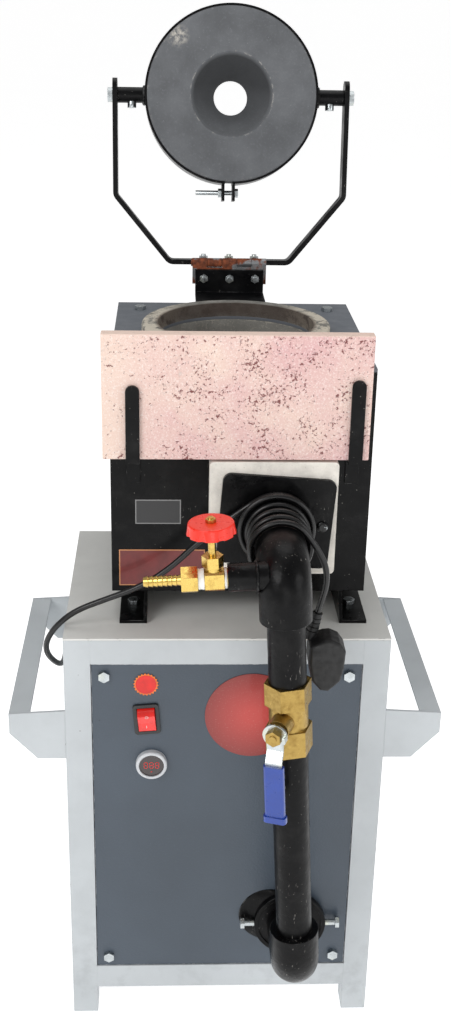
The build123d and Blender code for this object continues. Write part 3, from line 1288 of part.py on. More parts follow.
def lid_fasteners():
    """Clamp bolt with its nut between and outside the ears, and a grub screw under each tube."""
    bolt_z = -LID_RADIUS - BAND - EAR_LENGTH / 2
    right = EAR_OFFSET + EAR_GAP / 2 + EAR_THICK
    left = EAR_OFFSET - EAR_GAP / 2 - EAR_THICK
    length = right - left + CLAMP_BOLT_LONG - HEX_M5_HEIGHT
    bolt = hex_bolt((right, 0, bolt_z), LEFT, CLAMP_BOLT, length, HEX_M5, HEX_M5_HEIGHT)
    bolt += hex_bar((left, 0, bolt_z), LEFT, HEX_M5, HEX_M5_HEIGHT)
    pieces = [LID * bolt]
    for side in (-1, 1):
        start = (side * GRUB_IN, 0, -TRUNNION_TUBE + 2)
        pieces.append(LID * rod(start, DOWN, GRUB_RADIUS, GRUB_LENGTH))
    return pieces


# ---------------------------------------------------------------- mains cord
def run_radii(points):
    """Arc radius at each corner: 0.45 of the shorter run over the tangent of half the turn."""
    vectors = [Vector(*p) for p in points]
    radii = []
    for before, corner, after in zip(vectors, vectors[1:], vectors[2:]):
        first, second = corner - before, after - corner
        half_turn = radians(first.get_angle(second)) / 2
        radii.append(0.45 * min(first.length, second.length) / tan(half_turn))
    return radii


def cord_run(name, points):
    """Tube along straight runs joined by tangent arcs, with its size printed."""
    radii = run_radii(points)
    path = FilletPolyline(*points, radius=radii)
    tube = sweep(Plane(origin=path @ 0, z_dir=path % 0) * Circle(CORD / 2), path=path)
    expected = path.length * pi * (CORD / 2) ** 2
    print(name, "length", round(path.length, 1), "radii", [round(r, 1) for r in radii])
    print(name, "volume over section times length", round(tube.volume / expected, 4))
    return tube


def eased(values, turns):
    """Value after this many turns, easing from one full turn to the next."""
    index = min(int(turns), len(values) - 2)
    share = turns - index
    share = share * share * (3 - 2 * share)
    return values[index] + (values[index + 1] - values[index]) * share


def winding_point(angle):
    """Point of the winding after turning this many degrees over the pipe."""
    radius = eased(WIND_RADII, angle / 360)
    phi = radians(WIND_START_ANGLE - angle)
    z = BURNER_Z - WIND_SAG + radius * sin(phi)
    return Vector(BURNER_X + radius * cos(phi), eased(WIND_YS, angle / 360), z)


def winding_knots():
    """Points and unit tangents of the winding, a quarter turn apart."""
    count = round(WIND_SWEEP / 90)
    step = 0.5
    knots = []
    for k in range(count + 1):
        angle = WIND_SWEEP * k / count
        ahead = winding_point(min(angle + step, WIND_SWEEP))
        behind = winding_point(max(angle - step, 0))
        knots.append((winding_point(angle), (ahead - behind).normalized()))
    return knots


def biarc(start, start_way, end, end_way):
    """Two tangent arcs between two points with given directions."""
    chord = end - start
    total = start_way + end_way
    a = 2 * (1 - start_way.dot(end_way))
    b = chord.dot(total)
    reach = (-b + sqrt(b * b + a * chord.dot(chord))) / a
    middle = (start + end + (start_way - end_way) * reach) * 0.5
    first = TangentArc(start, middle, tangent=start_way)
    return [first, TangentArc(middle, end, tangent=first % 1)]


def cord_winding():
    knots = winding_knots()
    (first, first_way), (last, last_way) = knots[0], knots[-1]
    edges = [Line(first - first_way * CORD, first)]
    for (p, t), (q, u) in zip(knots, knots[1:]):
        edges += biarc(p, t, q, u)
    edges.append(Line(last, last + last_way * CORD))
    path = Wire([edge.edge() for edge in edges])
    tube = sweep(Plane(origin=path @ 0, z_dir=path % 0) * Circle(CORD / 2), path=path)
    step = 6.0
    samples = [winding_point(k * step) for k in range(int(WIND_SWEEP / step) + 1)]
    apart = int(180 / step)
    gap = min(
        (samples[i] - samples[j]).length - CORD
        for i in range(len(samples))
        for j in range(i + apart, len(samples))
    )
    expected = path.length * pi * (CORD / 2) ** 2
    print("cord_winding length", round(path.length, 1), "least gap", round(gap, 2))
    print("cord_winding volume over section times length", round(tube.volume / expected, 4))
    return tube


def cord_lead():
    first, way = winding_knots()[0]
    end = first - way * CORD
    return cord_run("cord_lead", [*LEAD_POINTS, tuple(end - way * LEAD_LAST_RUN), tuple(end)])


def cord_tail():
    last, way = winding_knots()[-1]
    start = last + way * CORD
    return cord_run("cord_tail", [tuple(start), tuple(start + way * TAIL_FIRST_RUN), *TAIL_POINTS])


def relief_way():
    """Direction of the strain relief, in line with the end of the tail."""
    return (Vector(*TAIL_POINTS[-1]) - Vector(*TAIL_POINTS[-2])).normalized()


def plug_body():
    plane = Plane(origin=(0, PLUG_FRONT, 0), x_dir=RIGHT, z_dir=FORWARD)
    outline = make_face(Polyline(*PLUG_OUTLINE, close=True))
    outline = fillet(outline.vertices(), PLUG_ROUND)
    body = extrude(plane * outline, amount=-PLUG_THICK)
    body = fillet(body.faces().sort_by(Axis.Y)[0].edges(), PLUG_ROUND)
    top = Vector(*TAIL_POINTS[-1])
    way = relief_way()
    relief = cone(tuple(top), tuple(way), RELIEF_TOP_RADIUS, RELIEF_FOOT_RADIUS, RELIEF_LENGTH)
    for k in range(RELIEF_GROOVES):
        at = top + way * (RELIEF_LENGTH * (k + 1) / (RELIEF_GROOVES + 2))
        outer = RELIEF_FOOT_RADIUS + 1
        relief -= pipe(tuple(at), tuple(way), outer, RELIEF_TOP_RADIUS - RELIEF_GROOVE / 2, RELIEF_GROOVE)
    body += relief
    back = PLUG_FRONT + PLUG_THICK
    for dx, z, radius, length in PLUG_PINS:
        body -= rod((PLUG_PIN_X + dx, back, z), FORWARD, radius, PLUG_THICK / 3)
    return body


def plug_pins():
    pins = []
    back = PLUG_FRONT + PLUG_THICK
    for dx, z, radius, length in PLUG_PINS:
        pin = rod((PLUG_PIN_X + dx, back - PLUG_THICK / 3, z), BACKWARD, radius, PLUG_THICK / 3 + length)
        pins.append(fillet(pin.edges().sort_by(Axis.Y)[-1], radius / 2))
    return pins


# ---------------------------------------------------------------- write every sub-part
PARTS = (
    cabinet_frame, cabinet_top, cabinet_floor, front_panel, cabinet_panels, panel_bolts,
    carrying_handles, switch_body, switch_rocker, meter_bezel, meter_window, panel_labels,
    furnace_labels, cord_gland, blower_housing, blower_impeller, blower_motor, blower_bracket,
    outlet_adaptor, set_screws, lower_elbow, air_pipes, ball_valve_body, ball_valve_ball,
    ball_valve_stem, ball_valve_lever, lever_sleeve, top_elbow, burner_pipe, flange_plate,
    burner_block, gas_valve, gas_spindle, gas_handwheel, hose_barb, furnace_shell,
    furnace_lining, top_plate, collar_ring, crucible, angle_runners, furnace_bolts,
    board_hooks, refractory_board, hinge_bracket, hinge_lower_leaf, hinge_upper_leaf, hinge_pin,
    bracket_bolts, yoke, yoke_bolts, lid_refractory, lid_band, lid_fasteners,
    cord_lead, cord_winding, cord_tail, plug_body, plug_pins,
)

for make in PARTS:
    save(make.__name__, make())
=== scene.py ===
"""Looks of a workshop crucible furnace, built round its packed CAD frame.

Metres, +X to the right of someone facing the front panel, +Y towards the back, +Z up.
Each piece takes its place from the frame's nodes and rides on a body of the frame.
"""

import json
import math
import random
from types import SimpleNamespace

import bmesh
import bpy
from mathutils import Matrix, Vector
from mathutils.bvhtree import BVHTree


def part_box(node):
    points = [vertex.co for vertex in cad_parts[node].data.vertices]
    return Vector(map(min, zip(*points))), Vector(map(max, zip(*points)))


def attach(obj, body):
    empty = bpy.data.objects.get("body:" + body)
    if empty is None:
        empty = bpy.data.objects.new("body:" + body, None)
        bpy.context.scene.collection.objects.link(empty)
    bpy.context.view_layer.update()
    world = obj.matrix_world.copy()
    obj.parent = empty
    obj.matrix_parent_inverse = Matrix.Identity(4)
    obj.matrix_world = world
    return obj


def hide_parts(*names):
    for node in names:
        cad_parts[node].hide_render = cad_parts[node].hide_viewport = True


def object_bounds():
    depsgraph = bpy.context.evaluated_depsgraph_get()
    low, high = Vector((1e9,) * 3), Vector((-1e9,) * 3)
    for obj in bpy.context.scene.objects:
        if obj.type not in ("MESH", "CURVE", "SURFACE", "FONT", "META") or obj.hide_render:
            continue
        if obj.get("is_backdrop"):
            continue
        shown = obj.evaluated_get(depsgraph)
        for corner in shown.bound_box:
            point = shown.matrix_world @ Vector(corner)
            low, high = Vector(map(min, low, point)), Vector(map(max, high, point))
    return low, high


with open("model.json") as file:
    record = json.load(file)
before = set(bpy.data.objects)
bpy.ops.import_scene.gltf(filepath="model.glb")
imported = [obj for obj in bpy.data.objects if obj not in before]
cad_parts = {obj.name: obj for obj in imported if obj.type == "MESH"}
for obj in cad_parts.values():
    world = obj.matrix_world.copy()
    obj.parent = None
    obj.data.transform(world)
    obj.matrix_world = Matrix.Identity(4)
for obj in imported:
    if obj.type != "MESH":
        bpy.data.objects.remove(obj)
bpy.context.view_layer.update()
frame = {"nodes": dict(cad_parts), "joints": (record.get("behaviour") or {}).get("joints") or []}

bl_info = {
    "name": "Crucible furnace looks",
    "version": (1, 0, 0),
    "blender": (4, 5, 0),
    "location": "3D View > Sidebar > Furnace",
    "description": "Dresses a crucible furnace with paint, stone, metal and cord",
    "category": "Object",
}

X, Y, Z = Vector((1, 0, 0)), Vector((0, 1, 0)), Vector((0, 0, 1))

# Stage: where the lights point, each light's place and size, and the camera's reach.
LIGHTS_AIM = Vector((0.0, 0.0, 0.5))
SOFTBOXES = (
    ("key", (-1.5, -1.7, 1.9), 1.3), ("fill", (1.9, -1.2, 1.1), 1.2),
    ("top", (0.1, 0.5, 2.4), 1.6), ("front", (0.1, -2.3, 0.7), 1.0),
)
LONG_SIDE = 36.0
CAMERA_REACH = 200.0

# Printed plates on the furnace front: x, z, width and height, and the line along their edges.
CAPACITY_PLATE = (-0.06485, 0.5464, 0.0423, 0.0242)
NAME_PLATE = (-0.0612, 0.4895, 0.0806, 0.037)
PLATE_LINE = 0.0011
PLATE_LINE_FADE = 0.0002
PLATES_PART_AT = (0.519, 0.521)

# Front panel: x and z of the round badge and the round label, and their sizes.
BADGE = (0.0248, 0.3574)
BADGE_RADIUS = 0.045
LABELS_PART_AT = (-0.0401, -0.0399)
ROUND_LABEL = (-0.0759, 0.3914)
LABEL_RIM = 0.0112
LABEL_TEETH = 22
LABEL_STEPS = LABEL_TEETH * 8
LABEL_TOOTH = 0.0007
LABEL_FACE = 0.0098
LABEL_THICK = 0.0003
LABEL_STEP = 0.0002

# Meter figures: seven-bar digits and the mark under them.
FIGURE_WIDE, FIGURE_TALL, FIGURE_BAR = 0.0033, 0.0064, 0.0007
FIGURE_PITCH = 0.0054
FIGURE_THICK = 0.0002
FIGURE_LIFT = 0.00005
MARK_WIDE, MARK_TALL, MARK_DROP = 0.0016, 0.0009, 0.0072

# Rocker marks: how far from the middle, the ring's radius and thickness, the bar's three sizes.
ROCKER_MARK_RISE = 0.0062
ROCKER_RING = (0.0014, 0.00024)
ROCKER_BAR = (0.0005, 0.003, 0.0003)

# Furnace: bolt heads in front of this depth are painted over.
PAINTED_BOLTS_Y = (-0.088, -0.0885)

# Lid: where its tubes are welded to the band, the mouth of its cone, which bounds the painted
# shade inside it, and a pale smudge.
TUBE_WELD = 0.0912
TUBE_RADIUS = 0.008
TUBE_BEAD = 0.0021
TUBE_LUMPS = 11
TUBE_SEED = 7
CONE_MOUTH = (0.046, 0.042)
SMUDGE_AT = (-0.047, 0.235, 0.947)
SMUDGE_SPREAD = (0.013, 0.004)

# Hinge: the root of the lower leaf, seen under its barrel.
ROLL_Y = 0.2046
ROLL_Z = 0.7108
ROLL_THICK = 0.0012
ROLL_TALL = 0.0034
ROLL_GRID = 0.006

# Gas line: places along its axis, from the burner elbow's centre towards the barb.
GAS_STEM = 0.0605
GAS_AXIS = Vector((0.99825493, 0.0, 0.0590517))
TAPES = ((0.0490, 0.0513), (0.0684, 0.0738))
TAPE_WRAPS = 6
TAPE_STEPS = 40
TAPE_SEED = 5
GAS_NECK = 0.0084
STUB_WELD = 0.0235
STUB_RADIUS = 0.01225
STUB_BEAD = 0.0019
STUB_LUMPS = 15
STUB_SEED = 3

# Weld beads: steps in a ripple, sides of the bead and its height against its width.
RIPPLE_STEPS = 4
BEAD_SIDES = 8
BEAD_FLATNESS = 0.8
WELD_SMOOTH = 60

# Rounding of edges: on small bolts, on large bolts, and which edges and corners count.
BOLT_EDGE, SMALL_BOLT_EDGE = 0.0004, 0.0003
JOINED_WITHIN = 0.00001
SOFTENED_OVER = 35
BEVEL_SAMPLES = 6
WEAR_TURN = (0.995, 0.86)

# Scene-linear tones of dirt, wear and small marks.
CHIP_BROWN = (0.05, 0.035, 0.028)
SPOT_BLACK = (0.004, 0.004, 0.005)
EDGE_SILVER = (0.62, 0.64, 0.66)
DUST_FILM = (0.35, 0.34, 0.33)
DUST = (0.42, 0.4, 0.37)
WORN_IRON = (0.3, 0.3, 0.3)
SOOT_BROWN = (0.06, 0.035, 0.025)
BOARD_GRAIN = (0.93, 0.88, 0.85)
BOARD_STAIN = (0.16, 0.15, 0.15)
LID_SMUDGE = (0.5, 0.47, 0.42)
LID_CHIP = (0.5, 0.48, 0.45)
BADGE_DUST = (0.6, 0.5, 0.45)
PLATE_BLACK = (0.012, 0.012, 0.013)
PLATE_GREY = (0.2, 0.2, 0.2)
WINDOW_RED = (0.012, 0.004, 0.004)
# Red of the meter figures, also the colour of their painted glow: the display is not lit.
FIGURE_RED_AND_GLOW = (0.6, 0.012, 0.01)
MARK_WHITE = (0.7, 0.62, 0.6)


# ------------------------------------------------------------------ sizes and colours
def colour(name, description, red, green, blue):
    """A colour property whose default is given as screen values from 0 to 255."""
    default = tuple(linear(value) for value in (red, green, blue))
    return bpy.props.FloatVectorProperty(
        name=name, description=description, default=default, subtype="COLOR", min=0, max=1
    )


def linear(value):
    """Scene-linear value of a screen value from 0 to 255."""
    share = value / 255
    return share / 12.92 if share <= 0.04045 else ((share + 0.055) / 1.055) ** 2.4


def length(name, description, default):
    return bpy.props.FloatProperty(
        name=name, description=description, default=default, unit="LENGTH", min=0
    )


def angle(name, description, degrees):
    return bpy.props.FloatProperty(
        name=name, description=description, default=math.radians(degrees), unit="ROTATION"
    )


def amount(name, description, default, high=10.0):
    return bpy.props.FloatProperty(
        name=name, description=description, default=default, min=0, max=high
    )


class StageSettings(bpy.types.PropertyGroup):
    """Camera, floor and lights."""

    camera_at: bpy.props.FloatVectorProperty(
        name="Camera place", description="Where the camera stands",
        default=(-0.0539, -1.2261, 1.0254), subtype="TRANSLATION", unit="LENGTH",
    )
    yaw: angle("Camera yaw", "Turn to the right of straight ahead", 2.568)
    pitch: angle("Camera pitch", "Tilt below level", 22.582)
    roll: angle("Camera roll", "Tilt of the picture", 1.151)
    lens: amount("Lens", "Focal length in millimetres on a 36 mm long side", 47.196, 200)
    floor_size: length("Floor size", "Side of the floor", 90.0)
    floor_colour: colour("Floor", "Pale floor", 246, 246, 246)
    floor_glow: amount("Floor glow", "Own light of the floor, for an even pale ground", 0.72)
    sky: amount("Sky", "Strength of the pale light from all round", 0.36)
    key: amount("Key light", "Power of the large light at the upper left", 26.0, 500)
    fill: amount("Fill light", "Power of the light at the right", 11.0, 500)
    top: amount("Top light", "Power of the light overhead", 14.0, 500)
    front: amount("Front light", "Power of the low light near the camera", 5.0, 500)


class PaintSettings(bpy.types.PropertyGroup):
    """Paints and plastics."""

    cabinet: colour("Cabinet grey", "Frame, sides and handles", 190, 195, 198)
    top: colour("Top grey", "Cabinet top", 220, 220, 216)
    slate: colour("Slate", "Front panel", 66, 76, 87)
    furnace: colour("Furnace black", "Shell, hooks and runners", 4, 4, 5)
    pipe: colour("Pipe black", "Air line", 6, 6, 7)
    plate: colour("Plate grey", "Furnace top plate", 108, 112, 118)
    wheel: colour("Handwheel red", "Gas handwheel", 240, 38, 10)
    vinyl: colour("Vinyl blue", "Lever sleeve", 12, 56, 146)
    moulded: colour("Moulded black", "Switch body and gland", 16, 16, 18)
    rocker: colour("Rocker red", "Rocker of the switch", 226, 34, 26)
    meter: colour("Meter white", "Ring of the voltmeter", 196, 199, 203)
    cord: colour("Cord black", "Mains cord and plug", 9, 9, 10)
    badge: colour("Badge red", "Round badge plate", 168, 58, 52)
    maroon: colour("Maroon", "Name plate", 112, 32, 30)
    copper: colour("Copper", "Rim of the name plate", 196, 132, 84)
    sticker: colour("Sticker red", "Round sticker", 222, 22, 10)
    sticker_rim: colour("Sticker rim", "Rim of the round sticker", 235, 120, 30)


class StoneSettings(bpy.types.PropertyGroup):
    """Refractory pieces."""

    board: colour("Board pink", "Refractory board", 216, 174, 173)
    board_edge: colour("Board cream", "Pale parts of the board", 230, 206, 192)
    speck: colour("Specks", "Dark specks in the board", 104, 30, 34)
    block: colour("Block white", "Burner block", 230, 225, 216)
    collar: colour("Collar grey", "Castable ring and lining", 142, 140, 134)
    cement: colour("Cement", "Pale cement on the ring", 205, 196, 180)
    lid: colour("Lid grey", "Face of the lid", 100, 102, 105)
    graphite: colour("Graphite", "Crucible", 48, 48, 51)


class MetalSettings(bpy.types.PropertyGroup):
    """Bare and plated metals."""

    zinc: colour("Zinc", "Bolts and lever", 196, 202, 204)
    brass: colour("Brass", "Gas valve and barb", 214, 184, 104)
    cast_brass: colour("Cast brass", "Ball valve body", 172, 144, 82)
    rust: colour("Rust", "Hinge barrel", 122, 62, 34)
    steel: colour("Bare steel", "Worn edges and inner sheet", 150, 152, 154)
    tape: colour("Thread tape", "Sealing tape on the gas threads", 236, 236, 232)


class CordSettings(bpy.types.PropertyGroup):
    """Mains cord."""

    diameter: length("Diameter", "Outside of the cord", 0.0056)
    length: length("Length", "From the gland to the plug", 1.655)
    per_turn: bpy.props.IntProperty(
        name="Points in a turn", description="Spline points in each turn of the winding",
        default=16, min=12, max=32,
    )


# ------------------------------------------------------------------ materials
class Finish:
    """A node material in the making, patterned in the frame's own metres."""

    def __init__(self, name, base, roughness, metallic=0.0, **sockets):
        self.material = bpy.data.materials.new(name)
        self.material.use_nodes = True
        tree = self.material.node_tree
        self.nodes, self.links = tree.nodes, tree.links
        self.shader = self.nodes["Principled BSDF"]
        self.tint(base)
        self.put("Roughness", roughness)
        self.put("Metallic", metallic)
        for socket, value in sockets.items():
            self.put(socket.replace("_", " ").title().replace("Ior", "IOR"), value)
        self.place = self.node("ShaderNodeTexCoord").outputs["Object"]

    def put(self, socket, value):
        """Set or link a socket of the shader."""
        self.feed(self.shader.inputs[socket], value)

    def tint(self, value):
        self.put("Base Color", value)

    def feed(self, socket, value):
        if isinstance(value, bpy.types.NodeSocket):
            self.links.new(value, socket)
        elif hasattr(value, "__len__") and len(value) == 3 and socket.type == "RGBA":
            socket.default_value = (*value, 1.0)
        else:
            socket.default_value = value

    def node(self, kind, inputs=None, **settings):
        made = self.nodes.new(kind)
        for key, value in settings.items():
            setattr(made, key, value)
        for key, value in (inputs or {}).items():
            self.feed(made.inputs[key], value)
        return made

    def stretched(self, scale):
        """The place scaled apart in X, Y and Z."""
        return self.node("ShaderNodeMapping", {"Vector": self.place, "Scale": scale}).outputs[0]

    def grain(self, size, detail=3.0, rough=0.55, place=None, distortion=0.0):
        """Noise from 0 to 1 whose features are about this many metres."""
        return self.node(
            "ShaderNodeTexNoise",
            {
                "Vector": place or self.place, "Scale": 1 / size, "Detail": detail,
                "Roughness": rough, "Distortion": distortion,
            },
        ).outputs[0]

    def patches(self, size, low, high, *how):
        """Share of patches where the noise of this size passes from low to high."""
        return self.span(self.grain(size, *how), low, high)

    def dots(self, spacing, edge, core):
        """Share of round dots, whose edge and core are given in cell widths."""
        cells = {"Vector": self.place, "Scale": 1 / spacing}
        away = self.node("ShaderNodeTexVoronoi", cells).outputs["Distance"]
        return self.span(away, edge, core)

    def span(self, value, low, high, to_low=0.0, to_high=1.0):
        """Value remapped from one range to another and held there."""
        return self.node(
            "ShaderNodeMapRange",
            {
                "Value": value, "From Min": low, "From Max": high,
                "To Min": to_low, "To Max": to_high,
            },
        ).outputs[0]

    def reckon(self, operation, first, second=0.0):
        """Result of one operation of arithmetic."""
        return self.node("ShaderNodeMath", {0: first, 1: second}, operation=operation).outputs[0]

    def times(self, first, second):
        return self.reckon("MULTIPLY", first, second)

    def plus(self, first, second):
        return self.reckon("ADD", first, second)

    def less(self, first, second):
        return self.reckon("SUBTRACT", first, second)

    def away(self, centre):
        """Distance from a point."""
        ends = {0: self.place, 1: centre}
        return self.node("ShaderNodeVectorMath", ends, operation="DISTANCE").outputs["Value"]

    def mix(self, share, first, second):
        """Colour between two colours."""
        made = self.node("ShaderNodeMix", data_type="RGBA")
        self.feed(made.inputs[0], share)
        self.feed(made.inputs[6], first)
        self.feed(made.inputs[7], second)
        return made.outputs[2]

    def part(self, letter):
        """One coordinate of the place."""
        return self.node("ShaderNodeSeparateXYZ", {"Vector": self.place}).outputs[letter]

    def rounded(self, radius):
        """Normal that rounds sharp edges off by this radius."""
        return self.node("ShaderNodeBevel", {"Radius": radius}, samples=BEVEL_SAMPLES).outputs[0]

    def corner(self, radius):
        """Share of wear along sharp edges, 0 on open faces."""
        true = self.node("ShaderNodeNewGeometry").outputs["True Normal"]
        ends = {0: self.rounded(radius), 1: true}
        dot = self.node("ShaderNodeVectorMath", ends, operation="DOT_PRODUCT")
        return self.span(dot.outputs["Value"], *WEAR_TURN)

    def gloss(self, size, low, high, detail=3.0):
        """Roughness that wanders between two values, in patches of this size."""
        self.put("Roughness", self.span(self.grain(size, detail), 0.3, 0.7, low, high))

    def clouds(self, tone, size, detail, low, high, rough=0.55, top=0.7):
        """A tone that drifts from darker to lighter, in patches of this size."""
        share = self.span(self.grain(size, detail, rough), 0.35, top)
        return self.mix(share, shade(tone, low), shade(tone, high))

    def relief(self, height, strength, depth, soften=0.0):
        """Bump from a height, over edges softened by a small radius."""
        bump = self.node(
            "ShaderNodeBump", {"Strength": strength, "Distance": depth, "Height": height}
        )
        if soften:
            self.feed(bump.inputs["Normal"], self.rounded(soften))
        self.put("Normal", bump.outputs[0])
        return self


def shade(tone, factor):
    """A colour made darker or lighter."""
    return tuple(min(1.0, channel * factor) for channel in tone)


def cabinet_paint(name, tone):
    """Pale sprayed paint with soft dirt, small chips and worn edges."""
    f = Finish(name, tone, 0.42, specular_ior_level=0.4)
    body = f.clouds(tone, 0.11, 4, 0.93, 1.04)
    low = f.span(f.part("Z"), 0.16, 0.0)
    grime = f.times(f.patches(0.03, 0.5, 0.75, 5, 0.65), f.plus(f.times(low, 0.5), 0.16))
    body = f.mix(grime, body, shade(tone, 0.62))
    chips = f.times(f.dots(0.021, 0.055, 0.035), f.patches(0.05, 0.56, 0.62, 2))
    body = f.mix(chips, body, CHIP_BROWN)
    worn = f.times(f.corner(0.0012), f.patches(0.012, 0.6, 0.68, 4, 0.6))
    f.tint(f.mix(worn, body, shade(tone, 0.35)))
    f.gloss(0.05, 0.34, 0.52)
    peel = f.grain(0.0022, 2, 0.5)
    return f.relief(peel, 0.12, 0.0006, soften=0.0011).material


def slate_paint(tone):
    """Slate front panel with a fine textured coat and pale worn edges."""
    f = Finish("slate_paint", tone, 0.4, specular_ior_level=0.5)
    body = f.clouds(tone, 0.16, 3, 0.88, 1.1, top=0.65)
    dust = f.times(f.patches(0.0014, 0.6, 0.72, 2), 0.1)
    body = f.mix(dust, body, shade(tone, 2.0))
    worn = f.times(f.corner(0.0011), f.patches(0.008, 0.45, 0.58, 4, 0.7))
    spots = f.times(f.dots(0.034, 0.045, 0.03), f.patches(0.09, 0.55, 0.6, 2))
    body = f.mix(spots, body, SPOT_BLACK)
    f.tint(f.mix(worn, body, EDGE_SILVER))
    f.gloss(0.004, 0.3, 0.46)
    return f.relief(f.grain(0.0019, 2, 0.5), 0.35, 0.0006, soften=0.0007).material


def black_paint(name, tone, roughness, scuffs, lumps, dust=0.35):
    """Black paint over iron, with scratches, scuffs, dust and paint runs."""
    f = Finish(name, tone, roughness, specular_ior_level=0.15)
    long = f.stretched((1.0, 1.0, 0.22))
    scratch = f.times(
        f.patches(0.0016, 0.68, 0.74, 2, 0.4, long, 0.6), f.patches(0.035, 0.53, 0.66, 3)
    )
    specks = f.times(f.dots(0.006, 0.09, 0.05), f.patches(0.04, 0.42, 0.6, 2))
    marks = f.reckon("MAXIMUM", f.times(scratch, scuffs), f.times(specks, dust))
    film = f.times(f.patches(0.025, 0.5, 0.78, 5, 0.65), 0.03)
    body = f.mix(film, tone, DUST_FILM)
    body = f.mix(marks, body, DUST)
    worn = f.times(f.corner(0.0008), f.patches(0.01, 0.5, 0.68, 4, 0.6))
    f.tint(f.mix(f.times(worn, 0.55), body, WORN_IRON))
    f.gloss(0.02, roughness * 0.75, min(0.9, roughness * 1.5), 4)
    return f.relief(f.grain(0.009, 3, 0.5), lumps, 0.0016, soften=0.0009).material


def plated(name, tone, roughness):
    """Plated steel with a faint cloudy tint."""
    f = Finish(name, tone, roughness, 1.0)
    tint = f.mix(f.patches(0.006, 0.4, 0.65, 3), shade(tone, 0.8), tone)
    warm = (tone[0], tone[1] * 0.97, tone[2] * 0.82)
    tint = f.mix(f.patches(0.02, 0.5, 0.7, 2), tint, warm)
    f.tint(tint)
    f.gloss(0.003, roughness * 0.7, roughness * 1.5)
    return f.relief(f.grain(0.0012, 2), 0.12, 0.0003, soften=0.0006).material


def painted_bolts(zinc, black):
    """Zinc bolts, with black paint over the heads on the burner flange."""
    f = Finish("furnace_bolt_zinc", zinc, 0.3, 1.0)
    paint = f.times(f.span(f.part("Y"), *PAINTED_BOLTS_Y), f.patches(0.004, 0.66, 0.6, 4))
    f.tint(f.mix(paint, f.mix(f.grain(0.006, 3), shade(zinc, 0.75), zinc), black))
    f.put("Metallic", f.less(1.0, paint))
    f.gloss(0.003, 0.22, 0.42)
    return f.relief(f.grain(0.0012, 2), 0.12, 0.0003, soften=0.0006).material


def brass_metal(name, tone, roughness, cast):
    """Brass, machined or cast, with darker stains in patches."""
    f = Finish(name, tone, roughness, 1.0)
    stain = f.patches(0.008, 0.48, 0.75, 5, 0.6)
    body = f.mix(f.times(stain, 0.55), tone, (tone[0] * 0.5, tone[1] * 0.4, tone[2] * 0.3))
    f.tint(body)
    f.gloss(0.004, roughness * 0.7, roughness * 1.5)
    return f.relief(f.grain(0.0016, 3), 0.12 + cast, 0.0004, soften=0.0005).material


def rusted(tone, bare):
    """Rusted hinge iron with bare silver patches."""
    f = Finish("rusted_iron", tone, 0.75)
    spread = f.grain(0.005, 5, 0.65)
    body = f.mix(f.span(spread, 0.35, 0.68), shade(tone, 0.35), shade(tone, 1.6))
    patch = f.patches(0.016, 0.53, 0.6, 4, 0.55)
    f.tint(f.mix(patch, body, bare))
    f.put("Metallic", f.times(patch, 0.85))
    f.put("Roughness", f.span(patch, 0, 1, 0.8, 0.38))
    return f.relief(spread, 0.5, 0.0006, soften=0.0005).material


def moulded(name, tone, roughness, coat=0.0):
    """Moulded plastic, rubber or dipped vinyl with handling marks."""
    f = Finish(name, tone, roughness, coat_weight=coat, coat_roughness=0.12)
    haze = f.patches(0.012, 0.45, 0.75, 4, 0.6)
    f.tint(f.mix(f.times(haze, 0.22), tone, shade(tone, 1.9)))
    f.gloss(0.006, roughness * 0.8, roughness * 1.3)
    return f.relief(f.grain(0.0012, 2), 0.1, 0.0003, soften=0.0006).material


def cast_stone(name, tone, pale, pores, relief):
    """Castable refractory with aggregate, pores and pale dust."""
    f = Finish(name, tone, 0.9, specular_ior_level=0.25)
    body = f.clouds(tone, 0.028, 5, 0.78, 1.15, rough=0.6)
    sand = f.patches(0.0018, 0.55, 0.7, 3, 0.6)
    body = f.mix(f.times(sand, 0.35), body, pale)
    holes = f.times(f.dots(0.0046, 0.16, 0.08), pores)
    body = f.mix(holes, body, shade(tone, 0.3))
    flake = f.times(f.corner(0.0035), f.patches(0.012, 0.5, 0.6, 4, 0.6))
    f.tint(f.mix(f.times(flake, 0.75), body, pale))
    height = f.less(f.grain(0.0026, 5, 0.65), f.times(holes, 0.7))
    return f.relief(height, relief, 0.0014).material


def collar_stone(tone, pale):
    """Castable ring, dark inside, with whitish chipped cement at its left and right."""
    f = Finish("collar_stone", tone, 0.9, specular_ior_level=0.25)
    body = f.clouds(tone, 0.02, 5, 0.5, 1.1, rough=0.65)
    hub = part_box("collar_ring")
    middle_x, middle_y = (hub[0].x + hub[1].x) / 2, (hub[0].y + hub[1].y) / 2
    side = f.reckon("ABSOLUTE", f.less(f.part("X"), middle_x))
    patch = f.times(f.span(side, 0.045, 0.075), f.patches(0.009, 0.42, 0.52, 5, 0.7))
    body = f.mix(f.times(patch, 0.85), body, pale)
    centre = Vector((middle_x, middle_y, hub[1].z))
    away = f.away(centre)
    inner = f.span(away, 0.079, 0.0755)
    body = f.mix(f.times(inner, 0.7), body, SOOT_BROWN)
    holes = f.times(f.dots(0.0046, 0.16, 0.08), 0.5)
    f.tint(f.mix(holes, body, shade(tone, 0.2)))
    height = f.less(f.grain(0.0026, 5, 0.65), f.times(holes, 0.7))
    return f.relief(height, 0.6, 0.0016).material


